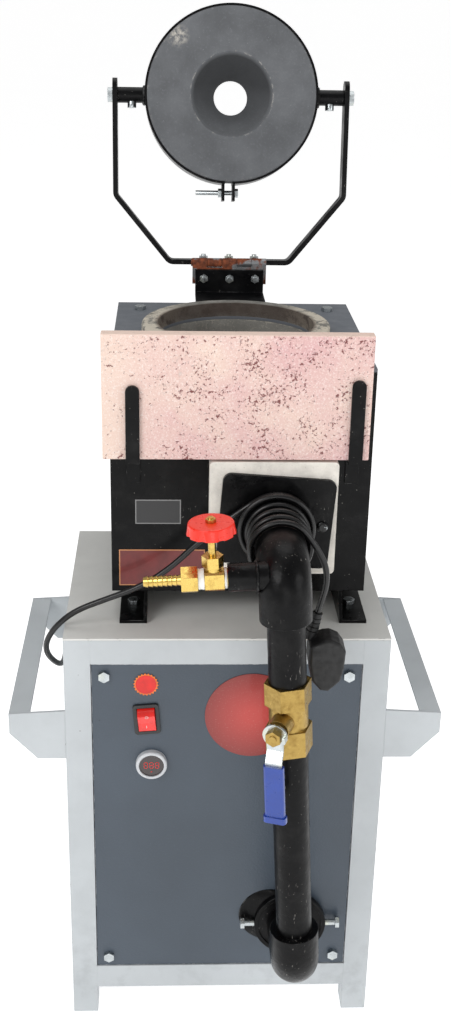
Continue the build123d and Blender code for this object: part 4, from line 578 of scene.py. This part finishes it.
def pink_board(tone, pale, speck):
    """Pink refractory board with clusters of dark iron specks."""
    f = Finish("pink_board", tone, 0.92, specular_ior_level=0.2)
    box_low, box_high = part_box("refractory_board")
    side = f.span(f.part("X"), box_low.x, box_low.x + 0.32 * (box_high.x - box_low.x))
    patch = f.times(side, f.patches(0.06, 0.25, 0.7, 3))
    body = f.mix(patch, pale, tone)
    body = f.mix(f.times(f.patches(0.0013, 0.5, 0.72, 2), 0.5), body, BOARD_GRAIN)
    shape = f.grain(0.0029, 6, 0.7, distortion=0.3)
    cluster = f.grain(0.017, 4, 0.6)
    edge = f.plus(f.times(cluster, -0.42), 0.785)
    edge = f.plus(edge, f.span(side, 0, 1, 0.055, 0.0))
    mark = f.span(f.less(shape, edge), 0.0, 0.035)
    body = f.mix(f.times(mark, 0.85), body, speck)
    stain = f.times(f.patches(0.05, 0.56, 0.72, 4), f.patches(0.004, 0.55, 0.65, 4))
    body = f.mix(f.times(stain, 0.3), body, BOARD_STAIN)
    top = f.span(f.part("Z"), box_high.z - 0.0012, box_high.z - 0.0004)
    f.tint(f.mix(f.times(top, 0.85), body, pale))
    height = f.less(f.grain(0.0016, 4, 0.6), f.times(mark, 0.5))
    return f.relief(height, 0.4, 0.0009).material


def lid_stone(tone):
    """Smooth grey castable of the lid, with painted shade in its cone and a pale smudge."""
    f = Finish("lid_stone", tone, 0.82, specular_ior_level=0.3)
    body = f.clouds(tone, 0.035, 5, 0.82, 1.14, rough=0.6)
    body = f.mix(f.times(f.patches(0.0022, 0.55, 0.7, 3), 0.22), body, shade(tone, 1.7))
    dots = f.times(f.dots(0.0075, 0.07, 0.03), 0.6)
    body = f.mix(dots, body, shade(tone, 2.2))
    ragged = f.patches(0.004, 0.42, 0.62, 4, 0.7)
    smudge = f.times(f.span(f.away(SMUDGE_AT), *SMUDGE_SPREAD), ragged)
    body = f.mix(smudge, body, LID_SMUDGE)
    hub = Vector(joint("lid_tilt")["pos_m"])
    cone = f.span(f.away(hub), *CONE_MOUTH)
    # Painted shade inside the cone, deepest towards its top.
    painted_shade_rise = f.span(f.part("Z"), hub.z - 0.03, hub.z + 0.012, 0.1, 0.8)
    body = f.mix(f.times(cone, painted_shade_rise), body, shade(tone, 0.22))
    chips = f.times(f.corner(0.003), f.patches(0.007, 0.52, 0.6, 4, 0.65))
    chips = f.times(chips, f.less(1.0, cone))
    f.tint(f.mix(f.times(chips, 0.8), body, LID_CHIP))
    return f.relief(f.grain(0.003, 5, 0.6), 0.28, 0.0012).material


def printed_disc(tone, backing, centre, radius):
    """Round plate whose red print darkens towards its rim; the left disc is plain backing."""
    f = Finish("badge_print", tone, 0.4, coat_weight=0.25)
    away = f.away(centre)
    body = f.mix(f.span(away, radius * 0.15, radius), shade(tone, 1.35), shade(tone, 0.62))
    dots = f.times(f.patches(0.0015, 0.6, 0.7, 2), 0.12)
    body = f.mix(dots, body, BADGE_DUST)
    f.tint(f.mix(f.span(f.part("X"), *LABELS_PART_AT), backing, body))
    return f.relief(f.grain(0.0022, 2), 0.2, 0.0004, soften=0.0004).material


def printed_plates(maroon, copper):
    """Black capacity plate with a pale line round it, over a maroon plate with a copper line."""
    f = Finish("plate_print", maroon, 0.42, coat_weight=0.2)
    upper = f.span(f.part("Z"), *PLATES_PART_AT)
    body = f.mix(upper, f.clouds(maroon, 0.01, 4, 0.8, 1.15), PLATE_BLACK)
    line = f.mix(upper, copper, PLATE_GREY)
    edge = 0.0
    for (x, z, wide, high), share in ((NAME_PLATE, f.less(1.0, upper)), (CAPACITY_PLATE, upper)):
        for axis, centre, size in (("X", x, wide), ("Z", z, high)):
            off = f.reckon("ABSOLUTE", f.less(f.part(axis), centre))
            inner = size / 2 - PLATE_LINE
            near = f.span(off, inner, inner + PLATE_LINE_FADE)
            edge = f.reckon("MAXIMUM", edge, f.times(near, share))
    f.tint(f.mix(edge, body, line))
    return f.relief(f.grain(0.0018, 2), 0.12, 0.0003, soften=0.0003).material


def printed(name, tone, roughness=0.42):
    """Printed foil or paper with a faint uneven gloss."""
    f = Finish(name, tone, roughness, coat_weight=0.2)
    f.tint(f.clouds(tone, 0.01, 4, 0.85, 1.12))
    return f.relief(f.grain(0.0018, 2), 0.12, 0.0003, soften=0.0003).material


def dark_window(tone):
    """Dark red window of a meter, under a clear coat."""
    f = Finish("meter_window", tone, 0.25, coat_weight=0.8, coat_roughness=0.05)
    f.tint(f.mix(f.patches(0.004, 0.3, 0.7, 3), tone, shade(tone, 1.8)))
    return f.relief(f.grain(0.003, 2), 0.04, 0.0002).material


def red_with_painted_glow(tone, name="rocker_red"):
    """Translucent red plastic of a rocker, or a meter figure, with a painted glow though neither
    is lit.
    """
    f = Finish(name, tone, 0.22, coat_weight=0.5, coat_roughness=0.08)
    f.tint(f.clouds(tone, 0.01, 3, 0.85, 1.1, top=0.65))
    # Painted glow: the red gives off a little light of its own, though nothing here is lit.
    f.put("Emission Color", tone)
    f.put("Emission Strength", 0.12)
    return f.relief(f.grain(0.002, 2), 0.06, 0.0003, soften=0.0006).material


def pale_floor(tone, glow):
    """Even pale ground, a little light of its own."""
    f = Finish("pale_floor", tone, 0.7, specular_ior_level=0.1)
    f.put("Emission Color", tone)
    f.put("Emission Strength", glow)
    cloud = f.patches(0.6, 0.3, 0.7, 3)
    f.tint(f.mix(cloud, shade(tone, 0.985), tone))
    return f.material


# ------------------------------------------------------------------ mesh helpers
def place(at, along, across=None):
    """Matrix whose Z runs along a direction from a place."""
    z = Vector(along).normalized()
    x = Vector(across) if across is not None else z.orthogonal()
    x = (x - z * x.dot(z)).normalized()
    turn = Matrix((x, z.cross(x), z)).transposed().to_4x4()
    return Matrix.Translation(Vector(at)) @ turn


def finish_mesh(name, bm, material, body, smooth=40.0):
    """Make a piece from a bmesh and let it ride on a body."""
    bmesh.ops.recalc_face_normals(bm, faces=bm.faces)
    mesh = bpy.data.meshes.new(name)
    bm.to_mesh(mesh)
    bm.free()
    for face in mesh.polygons:
        face.use_smooth = True
    mesh.set_sharp_from_angle(angle=math.radians(smooth))
    mesh.materials.append(material)
    piece = bpy.data.objects.new(name, mesh)
    bpy.context.scene.collection.objects.link(piece)
    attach(piece, body)
    return piece


def ring(bm, matrix, radius, height, steps):
    """Loop of vertices; radius may be a function of the angle."""
    loop = []
    for k in range(steps):
        turn = 2 * math.pi * k / steps
        reach = radius(turn) if callable(radius) else radius
        at = Vector((reach * math.cos(turn), reach * math.sin(turn), height))
        loop.append(bm.verts.new(matrix @ at))
    return loop


def skin(bm, loops, closed=False):
    """Faces between loops of vertices, one after another."""
    pairs = list(zip(loops, loops[1:])) + ([(loops[-1], loops[0])] if closed else [])
    for low, high in pairs:
        for k in range(len(low)):
            after = (k + 1) % len(low)
            bm.faces.new((low[k], low[after], high[after], high[k]))


def turned(bm, matrix, profile, steps):
    """Solid of revolution about the matrix's Z from (radius, height) pairs."""
    loops = [ring(bm, matrix, radius, height, steps) for radius, height in profile]
    skin(bm, loops)
    bm.faces.new(reversed(loops[0]))
    bm.faces.new(loops[-1])


def weld_bead(bm, matrix, radius, bead, lumps, seed):
    """Ring of overlapping weld ripples round the matrix's Z."""
    chance = random.Random(seed)
    uneven = [chance.uniform(0.8, 1.2) for _ in range(lumps + 1)]
    loops = []
    for k in range(lumps * RIPPLE_STEPS):
        turn = 2 * math.pi * k / (lumps * RIPPLE_STEPS)
        lump, step = divmod(k, RIPPLE_STEPS)
        swell = 0.82 + 0.3 * math.sin(math.pi * (step / RIPPLE_STEPS))
        size = bead * swell * uneven[lump]
        loop = []
        for side in range(BEAD_SIDES):
            tilt = 2 * math.pi * side / BEAD_SIDES
            reach = radius + size * math.cos(tilt)
            rise = size * BEAD_FLATNESS * math.sin(tilt)
            at = Vector((reach * math.cos(turn), reach * math.sin(turn), rise))
            loop.append(bm.verts.new(matrix @ at))
        loops.append(loop)
    skin(bm, loops, closed=True)


def block(bm, matrix, sizes):
    """Box of three sizes about the matrix's place."""
    for vert in bmesh.ops.create_cube(bm, size=1.0)["verts"]:
        vert.co = matrix @ Vector([co * size for co, size in zip(vert.co, sizes)])


def gridded_block(bm, low, high, step):
    """Block whose faces are cut into a grid of about this step."""
    bmesh.ops.create_cube(bm, size=1.0)
    low, high = Vector(low), Vector(high)
    size = high - low
    for vert in bm.verts:
        vert.co = low + Vector(((vert.co[i] + 0.5) * size[i] for i in range(3)))
    for axis, way in enumerate((X, Y, Z)):
        count = max(1, round(size[axis] / step))
        for k in range(1, count):
            at = low + way * (size[axis] * k / count)
            parts = bm.verts[:] + bm.edges[:] + bm.faces[:]
            bmesh.ops.bisect_plane(bm, geom=parts, plane_co=at, plane_no=way)


def ringed(bm, matrix, radius, thick, steps=32, sides=10):
    """Torus about the matrix's Z."""
    loops = []
    for side in range(sides):
        tilt = 2 * math.pi * side / sides
        reach, rise = radius + thick * math.cos(tilt), thick * math.sin(tilt)
        loops.append(ring(bm, matrix, reach, rise, steps))
    skin(bm, loops, closed=True)


def face_at(node, start, along):
    """Where a ray first meets a node, and the face's normal there."""
    mesh = frame["nodes"][node].data
    corners = [vertex.co for vertex in mesh.vertices]
    tree = BVHTree.FromPolygons(corners, [face.vertices[:] for face in mesh.polygons])
    at, normal, _, _ = tree.ray_cast(start, along)
    if at is None:
        raise RuntimeError(f"no face of {node} on this ray")
    return at, normal if normal.dot(along) < 0 else -normal


def soften(node, width):
    """Rounded edges on a carried-over node."""
    piece = frame["nodes"][node]
    weld = piece.modifiers.new("joined", "WELD")
    weld.merge_threshold = JOINED_WITHIN
    edges = piece.modifiers.new("rounded", "BEVEL")
    edges.width = width
    edges.segments = 2
    edges.limit_method = "ANGLE"
    edges.angle_limit = math.radians(SOFTENED_OVER)
    edges.harden_normals = True


def dress(material, *names):
    """Give carried-over nodes a material."""
    for name in names:
        node = frame["nodes"][name]
        node.data.materials.clear()
        node.data.materials.append(material)


# ------------------------------------------------------------------ frame and settings

def joint(name):
    return next(item for item in frame["joints"] if item["name"] == name)


def chosen(context, name):
    """The values of a settings group, with each colour as a plain tuple."""
    group = getattr(context.scene, f"furnace_{name}")
    values = {entry: getattr(group, entry) for entry in type(group).__annotations__}
    for entry, value in values.items():
        if hasattr(value, "__len__"):
            values[entry] = tuple(value)
    return SimpleNamespace(**values)


# ------------------------------------------------------------------ operators
class FURNACE_OT_stage(bpy.types.Operator):
    """Make the floor, the soft lights and the camera."""

    bl_idname = "furnace.stage"
    bl_label = "Stage"

    def execute(self, context):
        look = chosen(context, "stage")
        self.camera(context, look)
        self.floor(look)
        world = bpy.data.worlds.new("studio")
        world.use_nodes = True
        sky = world.node_tree.nodes["Background"]
        sky.inputs["Color"].default_value = (1.0, 1.0, 1.0, 1.0)
        sky.inputs["Strength"].default_value = look.sky
        context.scene.world = world
        context.scene.view_settings.view_transform = "Standard"
        for name, at, size in SOFTBOXES:
            self.softbox(f"{name}_light", at, size, getattr(look, name))
        return {"FINISHED"}

    def camera(self, context, look):
        ahead = Vector((
            math.sin(look.yaw) * math.cos(look.pitch),
            math.cos(look.yaw) * math.cos(look.pitch),
            -math.sin(look.pitch),
        ))
        side = Vector((math.cos(look.yaw), -math.sin(look.yaw), 0.0))
        up = side.cross(ahead)
        right = side * math.cos(look.roll) + up * math.sin(look.roll)
        up = up * math.cos(look.roll) - side * math.sin(look.roll)
        data = bpy.data.cameras.new("camera")
        data.sensor_width = LONG_SIDE
        data.lens = look.lens
        data.clip_end = CAMERA_REACH
        camera = bpy.data.objects.new("camera", data)
        context.scene.collection.objects.link(camera)
        turn = Matrix((right, up, -ahead)).transposed().to_4x4()
        camera.matrix_world = Matrix.Translation(Vector(look.camera_at)) @ turn
        context.scene.camera = camera

    def floor(self, look):
        bm = bmesh.new()
        bmesh.ops.create_grid(bm, x_segments=1, y_segments=1, size=look.floor_size / 2)
        mesh = bpy.data.meshes.new("floor")
        bm.to_mesh(mesh)
        bm.free()
        mesh.materials.append(pale_floor(look.floor_colour, look.floor_glow))
        floor = bpy.data.objects.new("floor", mesh)
        floor.location.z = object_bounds()[0].z
        bpy.context.scene.collection.objects.link(floor)
        floor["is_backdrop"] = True

    def softbox(self, name, at, size, power):
        data = bpy.data.lights.new(name, "AREA")
        data.size = size
        data.energy = power
        light = bpy.data.objects.new(name, data)
        bpy.context.scene.collection.objects.link(light)
        light.matrix_world = place(at, Vector(at) - LIGHTS_AIM)


# Route of the cord from the gland round the handle to the burner pipe.
LEAD = (
    (-0.104, 0.134, 0.34), (-0.104, 0.152, 0.34), (-0.113, 0.171, 0.344),
    (-0.132, 0.183, 0.35), (-0.151, 0.174, 0.357), (-0.1595, 0.152, 0.364),
    (-0.16, 0.119, 0.3695), (-0.159, 0.08, 0.3705), (-0.1595, 0.035, 0.37),
    (-0.159, -0.01, 0.3695), (-0.1588, -0.045, 0.371), (-0.163, -0.068, 0.382),
    (-0.1715, -0.084, 0.402), (-0.171, -0.095, 0.421), (-0.161, -0.1, 0.44),
    (-0.142, -0.102, 0.4575), (-0.112, -0.1025, 0.47), (-0.08, -0.102, 0.4825),
    (-0.052, -0.1015, 0.502), (-0.024, -0.101, 0.531),
)
TAIL = (
    (0.0832, -0.162, 0.531), (0.0846, -0.1615, 0.514),
    (0.0809, -0.1605, 0.497), (0.078, -0.16, 0.485),
)
# Winding: x and z of its middle, where it starts and how far it turns in degrees, its radius
# and y after each full turn, and the straight runs that lead in and out of it.
WIND_CENTRE = (0.0433, 0.544)
WIND_START = 125.0
WIND_SWEEP = 1890.0
WIND_RADII = (0.030, 0.034, 0.027, 0.0266, 0.027, 0.0274, 0.0274)
WIND_YS = (-0.101, -0.115, -0.1175, -0.131, -0.146, -0.159, -0.163)
LEAD_STRAIGHT = 0.0256
TAIL_STRAIGHT = 0.0166
# Ribbed sleeve at the gland: length, radius at its root, wall at its tip, ribs and steps.
SLEEVE_LONG, SLEEVE_WIDE, SLEEVE_WALL = 0.024, 0.0052, 0.0006
SLEEVE_RIBS, SLEEVE_STEPS = 7, 24


def eased(values, turns):
    """Value after this many turns, easing from one full turn to the next."""
    index = min(int(turns), len(values) - 2)
    share = turns - index
    share = share * share * (3 - 2 * share)
    return values[index] + (values[index + 1] - values[index]) * share


def winding(degrees, spread=1.0):
    """Point of the winding after turning this far round the burner pipe."""
    radius = eased(WIND_RADII, degrees / 360) * spread
    turn = math.radians(WIND_START - degrees)
    return Vector((
        WIND_CENTRE[0] + radius * math.cos(turn),
        eased(WIND_YS, degrees / 360),
        WIND_CENTRE[1] + radius * math.sin(turn),
    ))


class FURNACE_OT_cord(bpy.types.Operator):
    """Make the mains cord with its winding, relief sleeve and plug."""

    bl_idname = "furnace.cord"
    bl_label = "Mains cord"

    def execute(self, context):
        size, paint = chosen(context, "cord"), chosen(context, "paint")
        rubber = moulded("cord_rubber", paint.cord, 0.3)
        cord = self.cord(size, rubber)
        dress(moulded("plug_rubber", shade(paint.cord, 1.15), 0.5), "plug_body")
        dress(brass_metal("pin_brass", chosen(context, "metal").brass, 0.3, 0.0), "plug_pins")
        dress(moulded("gland_black", paint.moulded, 0.45), "cord_gland")
        relief = self.relief(size, rubber)
        return {"FINISHED"}

    def cord(self, size, rubber):
        first_way = (winding(1) - winding(0)).normalized()
        last_way = (winding(WIND_SWEEP) - winding(WIND_SWEEP - 1)).normalized()
        spread = 1 / math.cos(math.pi / size.per_turn)
        step = 360 / size.per_turn
        count = round(WIND_SWEEP / step)
        turns = [winding(WIND_SWEEP * k / count, spread) for k in range(count + 1)]
        points = [
            *LEAD, winding(0) - first_way * LEAD_STRAIGHT, *turns,
            winding(WIND_SWEEP) + last_way * TAIL_STRAIGHT, *TAIL,
        ]
        curve = bpy.data.curves.new("mains_cord", "CURVE")
        curve.dimensions = "3D"
        curve.bevel_depth = size.diameter / 2
        curve.bevel_resolution = 5
        curve.resolution_u = 8
        curve.use_fill_caps = True
        spline = curve.splines.new("NURBS")
        spline.points.add(len(points) - 1)
        for point, at in zip(spline.points, points):
            point.co = (*at, 1.0)
        spline.order_u = 3
        spline.use_endpoint_u = True
        curve.materials.append(rubber)
        cord = bpy.data.objects.new("mains_cord", curve)
        bpy.context.scene.collection.objects.link(cord)
        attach(cord, "base")
        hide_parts("cord_lead", "cord_winding", "cord_tail")
        return cord

    def relief(self, size, rubber):
        """Ribbed sleeve that tapers from the gland onto the cord."""
        bm = bmesh.new()
        start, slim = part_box("cord_gland")[1].y, size.diameter / 2 + SLEEVE_WALL
        profile = []
        for k in range(SLEEVE_RIBS):
            share = k / SLEEVE_RIBS
            at = SLEEVE_LONG * k / SLEEVE_RIBS
            radius = SLEEVE_WIDE + (slim - SLEEVE_WIDE) * share
            rib = at + SLEEVE_LONG / SLEEVE_RIBS * 0.6
            groove = at + SLEEVE_LONG / SLEEVE_RIBS * 0.75
            profile += [(radius, at), (radius, rib), (radius * 0.86, groove)]
        profile.append((slim, SLEEVE_LONG))
        turned(bm, place((LEAD[0][0], start, LEAD[0][2]), Y), profile, SLEEVE_STEPS)
        return finish_mesh("cord_relief", bm, rubber, "base")


class FURNACE_OT_cabinet(bpy.types.Operator):
    """Paint the cabinet, its handles and what it holds."""

    bl_idname = "furnace.cabinet"
    bl_label = "Cabinet"

    def execute(self, context):
        paint, metal = chosen(context, "paint"), chosen(context, "metal")
        sprayed = cabinet_paint("cabinet_paint", paint.cabinet)
        dress(sprayed, "cabinet_frame", "cabinet_panels", "carrying_handles")
        dress(cabinet_paint("top_paint", paint.top), "cabinet_top")
        dress(slate_paint(paint.slate), "front_panel")
        inner = plated("inner_steel", metal.steel, 0.45)
        dress(inner, "cabinet_floor", "blower_bracket", "blower_impeller")
        black = black_paint("blower_black", paint.pipe, 0.45, 0.2, 0.1)
        dress(black, "blower_housing", "blower_motor")
        return {"FINISHED"}


class FURNACE_OT_panel(bpy.types.Operator):
    """Make the switch, the meter, the bolts and the labels of the front panel."""

    bl_idname = "furnace.panel"
    bl_label = "Panel fittings"

    def execute(self, context):
        paint, metal = chosen(context, "paint"), chosen(context, "metal")
        dress(moulded("switch_black", paint.moulded, 0.35, 0.3), "switch_body")
        dress(red_with_painted_glow(paint.rocker), "switch_rocker")
        dress(moulded("meter_ring", paint.meter, 0.4), "meter_bezel")
        dress(dark_window(WINDOW_RED), "meter_window")
        dress(plated("zinc", metal.zinc, 0.3), "panel_bolts", "set_screws")
        badge_at = Vector((BADGE[0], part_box("panel_labels")[0].y, BADGE[1]))
        dress(printed_disc(paint.badge, paint.slate, badge_at, BADGE_RADIUS), "panel_labels")
        soften("panel_bolts", BOLT_EDGE)
        self.sticker(paint)
        self.digits()
        self.rocker_marks()
        return {"FINISHED"}

    def sticker(self, paint):
        """Toothed round sticker, pale rim under a red disc."""
        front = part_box("panel_labels")[0].y

        def rim(turn):
            return LABEL_RIM + LABEL_TOOTH * math.cos(LABEL_TEETH * turn)

        for name, reach, tone, lift in (
            ("sticker_rim", rim, paint.sticker_rim, 0.0),
            ("sticker_face", LABEL_FACE, paint.sticker, LABEL_STEP),
        ):
            bm = bmesh.new()
            at = place((ROUND_LABEL[0], front - lift, ROUND_LABEL[1]), -Y)
            turned(bm, at, [(reach, 0.0), (reach, LABEL_THICK)], LABEL_STEPS)
            finish_mesh(name, bm, printed(name, tone, 0.35), "base")

    def digits(self):
        """Three seven-bar figures and a small mark, just proud of the meter's window."""
        low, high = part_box("meter_window")
        # The figures are unlit segments; their red carries a painted glow.
        centre, red = (low + high) / 2, red_with_painted_glow(FIGURE_RED_AND_GLOW, "figure_red")
        bm = bmesh.new()
        flat, upright = FIGURE_WIDE - FIGURE_BAR, FIGURE_TALL / 2 - FIGURE_BAR
        for k in (-1, 0, 1):
            x = centre.x + k * FIGURE_PITCH
            for level in (-1, 0, 1):
                z = centre.z + level * FIGURE_TALL / 2
                self.bar(bm, x, z, flat, FIGURE_BAR, low.y)
            for side in (-1, 1):
                for level in (-1, 1):
                    z = centre.z + level * FIGURE_TALL / 4
                    self.bar(bm, x + side * FIGURE_WIDE / 2, z, FIGURE_BAR, upright, low.y)
        self.bar(bm, centre.x, centre.z - MARK_DROP, MARK_WIDE, MARK_TALL, low.y)
        finish_mesh("meter_figures", bm, red, "base")

    def bar(self, bm, x, z, wide, tall, front):
        """Thin bar standing just proud of a face, for a figure with a painted glow."""
        at = Vector((x, front - FIGURE_LIFT, z))
        block(bm, Matrix.Translation(at), (wide, FIGURE_THICK, tall))

    def rocker_marks(self):
        """Ring above and bar below, moulded on the rocker's face."""
        pale = printed("mark_white", MARK_WHITE, 0.4)
        low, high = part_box("switch_rocker")
        middle_x, middle_z = (low.x + high.x) / 2, (low.z + high.z) / 2
        for name, rise in (("rocker_ring", ROCKER_MARK_RISE), ("rocker_bar", -ROCKER_MARK_RISE)):
            start = Vector((middle_x, low.y - 0.01, middle_z + rise))
            at, normal = face_at("switch_rocker", start, Y)
            bm = bmesh.new()
            if rise > 0:
                ringed(bm, place(at, normal), *ROCKER_RING)
            else:
                block(bm, place(at, normal, X), ROCKER_BAR)
            finish_mesh(name, bm, pale, "rocker")


class FURNACE_OT_air_line(bpy.types.Operator):
    """Paint the air line and finish its ball valve."""

    bl_idname = "furnace.air_line"
    bl_label = "Air line"

    def execute(self, context):
        paint, metal = chosen(context, "paint"), chosen(context, "metal")
        black = black_paint("pipe_paint", paint.pipe, 0.3, 0.7, 0.35)
        dress(black, "outlet_adaptor", "lower_elbow", "air_pipes", "top_elbow")
        dress(black, "burner_pipe", "flange_plate")
        cast = brass_metal("cast_brass", metal.cast_brass, 0.34, 0.2)
        dress(cast, "ball_valve_body", "ball_valve_stem")
        zinc = plated("lever_zinc", metal.zinc, 0.24)
        dress(zinc, "ball_valve_lever", "ball_valve_ball")
        dress(moulded("lever_vinyl", paint.vinyl, 0.32, 0.4), "lever_sleeve")
        return {"FINISHED"}


class FURNACE_OT_gas_line(bpy.types.Operator):
    """Finish the brass gas valve, its handwheel and the hose barb."""

    bl_idname = "furnace.gas_line"
    bl_label = "Gas line"

    def execute(self, context):
        paint, metal = chosen(context, "paint"), chosen(context, "metal")
        brass = brass_metal("gas_brass", metal.brass, 0.24, 0.05)
        dress(brass, "gas_valve", "gas_spindle", "hose_barb")
        dress(moulded("wheel_paint", paint.wheel, 0.3, 0.15), "gas_handwheel")
        stem = Vector(joint("handwheel_turn")["pos_m"])
        origin = stem + GAS_AXIS * GAS_STEM
        tape = moulded("thread_tape", metal.tape, 0.6)
        for number, (near, far) in enumerate(TAPES):
            bm = bmesh.new()
            chance = random.Random(TAPE_SEED + number)
            edge = GAS_NECK + 0.0001
            wraps = [
                (GAS_NECK + chance.uniform(0.0003, 0.0009), near + (far - near) * k / TAPE_WRAPS)
                for k in range(TAPE_WRAPS + 1)
            ]
            profile = [(edge, near), *wraps, (edge, far)]
            turned(bm, place(origin, -GAS_AXIS), profile, TAPE_STEPS)
            finish_mesh(f"thread_tape_{number}", bm, tape, "base")
        bm = bmesh.new()
        at = place(origin - GAS_AXIS * STUB_WELD, -GAS_AXIS)
        weld_bead(bm, at, STUB_RADIUS + 0.0004, STUB_BEAD, STUB_LUMPS, STUB_SEED)
        weld = black_paint("weld_paint", paint.pipe, 0.28, 0.4, 0.3)
        finish_mesh("stub_weld", bm, weld, "base", smooth=WELD_SMOOTH)
        return {"FINISHED"}


class FURNACE_OT_furnace(bpy.types.Operator):
    """Finish the furnace box, its stone pieces and its plates."""

    bl_idname = "furnace.furnace"
    bl_label = "Furnace"

    def execute(self, context):
        paint, stone = chosen(context, "paint"), chosen(context, "stone")
        metal = chosen(context, "metal")
        black = black_paint("furnace_paint", paint.furnace, 0.3, 0.15, 0.08, 0.5)
        dress(black, "furnace_shell", "angle_runners", "board_hooks")
        dress(black_paint("plate_paint", paint.plate, 0.45, 0.2, 0.06, 0.15), "top_plate")
        lining = cast_stone("lining_stone", stone.collar, stone.cement, 0.4, 0.5)
        dress(lining, "furnace_lining")
        dress(collar_stone(stone.collar, stone.cement), "collar_ring")
        white = cast_stone("block_stone", stone.block, shade(stone.block, 1.1), 0.2, 0.4)
        dress(white, "burner_block")
        graphite = cast_stone("graphite", stone.graphite, shade(stone.graphite, 2.0), 0.1, 0.2)
        dress(graphite, "crucible")
        dress(pink_board(stone.board, stone.board_edge, stone.speck), "refractory_board")
        dress(painted_bolts(metal.zinc, paint.furnace), "furnace_bolts")
        dress(printed_plates(paint.maroon, paint.copper), "furnace_labels")
        soften("furnace_bolts", BOLT_EDGE)
        return {"FINISHED"}


class FURNACE_OT_hinge(bpy.types.Operator):
    """Finish the hinge, its bracket and the yoke."""

    bl_idname = "furnace.hinge"
    bl_label = "Hinge and yoke"

    def execute(self, context):
        paint, metal = chosen(context, "paint"), chosen(context, "metal")
        black = black_paint("yoke_paint", shade(paint.furnace, 1.6), 0.34, 0.5, 0.12)
        dress(black, "yoke", "hinge_bracket")
        rust = rusted(metal.rust, metal.steel)
        dress(rust, "hinge_lower_leaf", "hinge_upper_leaf", "hinge_pin")
        dress(plated("yoke_zinc", metal.zinc, 0.28), "bracket_bolts", "yoke_bolts")
        soften("bracket_bolts", SMALL_BOLT_EDGE)
        soften("yoke_bolts", SMALL_BOLT_EDGE)
        self.leaf_roll(metal)
        return {"FINISHED"}

    def leaf_roll(self, metal):
        """Root of the lower leaf, curling up behind the barrel."""
        low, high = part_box("hinge_lower_leaf")
        bm = bmesh.new()
        far = (high.x, ROLL_Y + ROLL_THICK, ROLL_Z + ROLL_TALL)
        gridded_block(bm, (low.x, ROLL_Y, ROLL_Z), far, ROLL_GRID)
        rust = rusted(metal.rust, metal.steel)
        finish_mesh("leaf_roll", bm, rust, "base")


class FURNACE_OT_lid(bpy.types.Operator):
    """Finish the stone lid, its band and its clamp."""

    bl_idname = "furnace.lid"
    bl_label = "Lid"

    def execute(self, context):
        paint, stone = chosen(context, "paint"), chosen(context, "stone")
        metal = chosen(context, "metal")
        dress(lid_stone(stone.lid), "lid_refractory")
        dress(black_paint("band_paint", shade(paint.furnace, 1.6), 0.3, 0.3, 0.1), "lid_band")
        dress(plated("lid_zinc", metal.zinc, 0.28), "lid_fasteners")
        soften("lid_fasteners", SMALL_BOLT_EDGE)
        hub = Vector(joint("lid_tilt")["pos_m"])
        for side, name in ((-1, "left"), (1, "right")):
            bm = bmesh.new()
            at = place(hub + X * side * TUBE_WELD, X * side)
            weld_bead(bm, at, TUBE_RADIUS + 0.0003, TUBE_BEAD, TUBE_LUMPS, TUBE_SEED + side)
            weld = black_paint(f"tube_weld_{name}", paint.furnace, 0.28, 0.3, 0.3)
            finish_mesh(f"tube_weld_{name}", bm, weld, "lid", smooth=WELD_SMOOTH)
        return {"FINISHED"}


OPERATORS = (
    FURNACE_OT_stage, FURNACE_OT_cord, FURNACE_OT_cabinet, FURNACE_OT_panel, FURNACE_OT_air_line,
    FURNACE_OT_gas_line, FURNACE_OT_furnace, FURNACE_OT_hinge, FURNACE_OT_lid,
)
SETTINGS = {
    "furnace_stage": StageSettings, "furnace_paint": PaintSettings, "furnace_stone": StoneSettings,
    "furnace_metal": MetalSettings, "furnace_cord": CordSettings,
}


class FURNACE_PT_looks(bpy.types.Panel):
    """Sizes, colours and makers of the furnace's looks."""

    bl_idname = "FURNACE_PT_looks"
    bl_label = "Furnace"
    bl_space_type = "VIEW_3D"
    bl_region_type = "UI"
    bl_category = "Furnace"

    def draw(self, context):
        for operator in OPERATORS:
            self.layout.operator(operator.bl_idname)
        for name, group in SETTINGS.items():
            box = self.layout.box()
            box.label(text=group.__doc__)
            for entry in group.__annotations__:
                box.prop(getattr(context.scene, name), entry)


def register():
    for item in (*SETTINGS.values(), *OPERATORS, FURNACE_PT_looks):
        bpy.utils.register_class(item)
    for name, group in SETTINGS.items():
        setattr(bpy.types.Scene, name, bpy.props.PointerProperty(type=group))


def unregister():
    for name in SETTINGS:
        delattr(bpy.types.Scene, name)
    for item in (FURNACE_PT_looks, *reversed(OPERATORS), *SETTINGS.values()):
        bpy.utils.unregister_class(item)


def main():
    register()
    for operator in OPERATORS:
        group, name = operator.bl_idname.split(".")
        getattr(getattr(bpy.ops, group), name)()


if __name__ == "__main__":
    main()
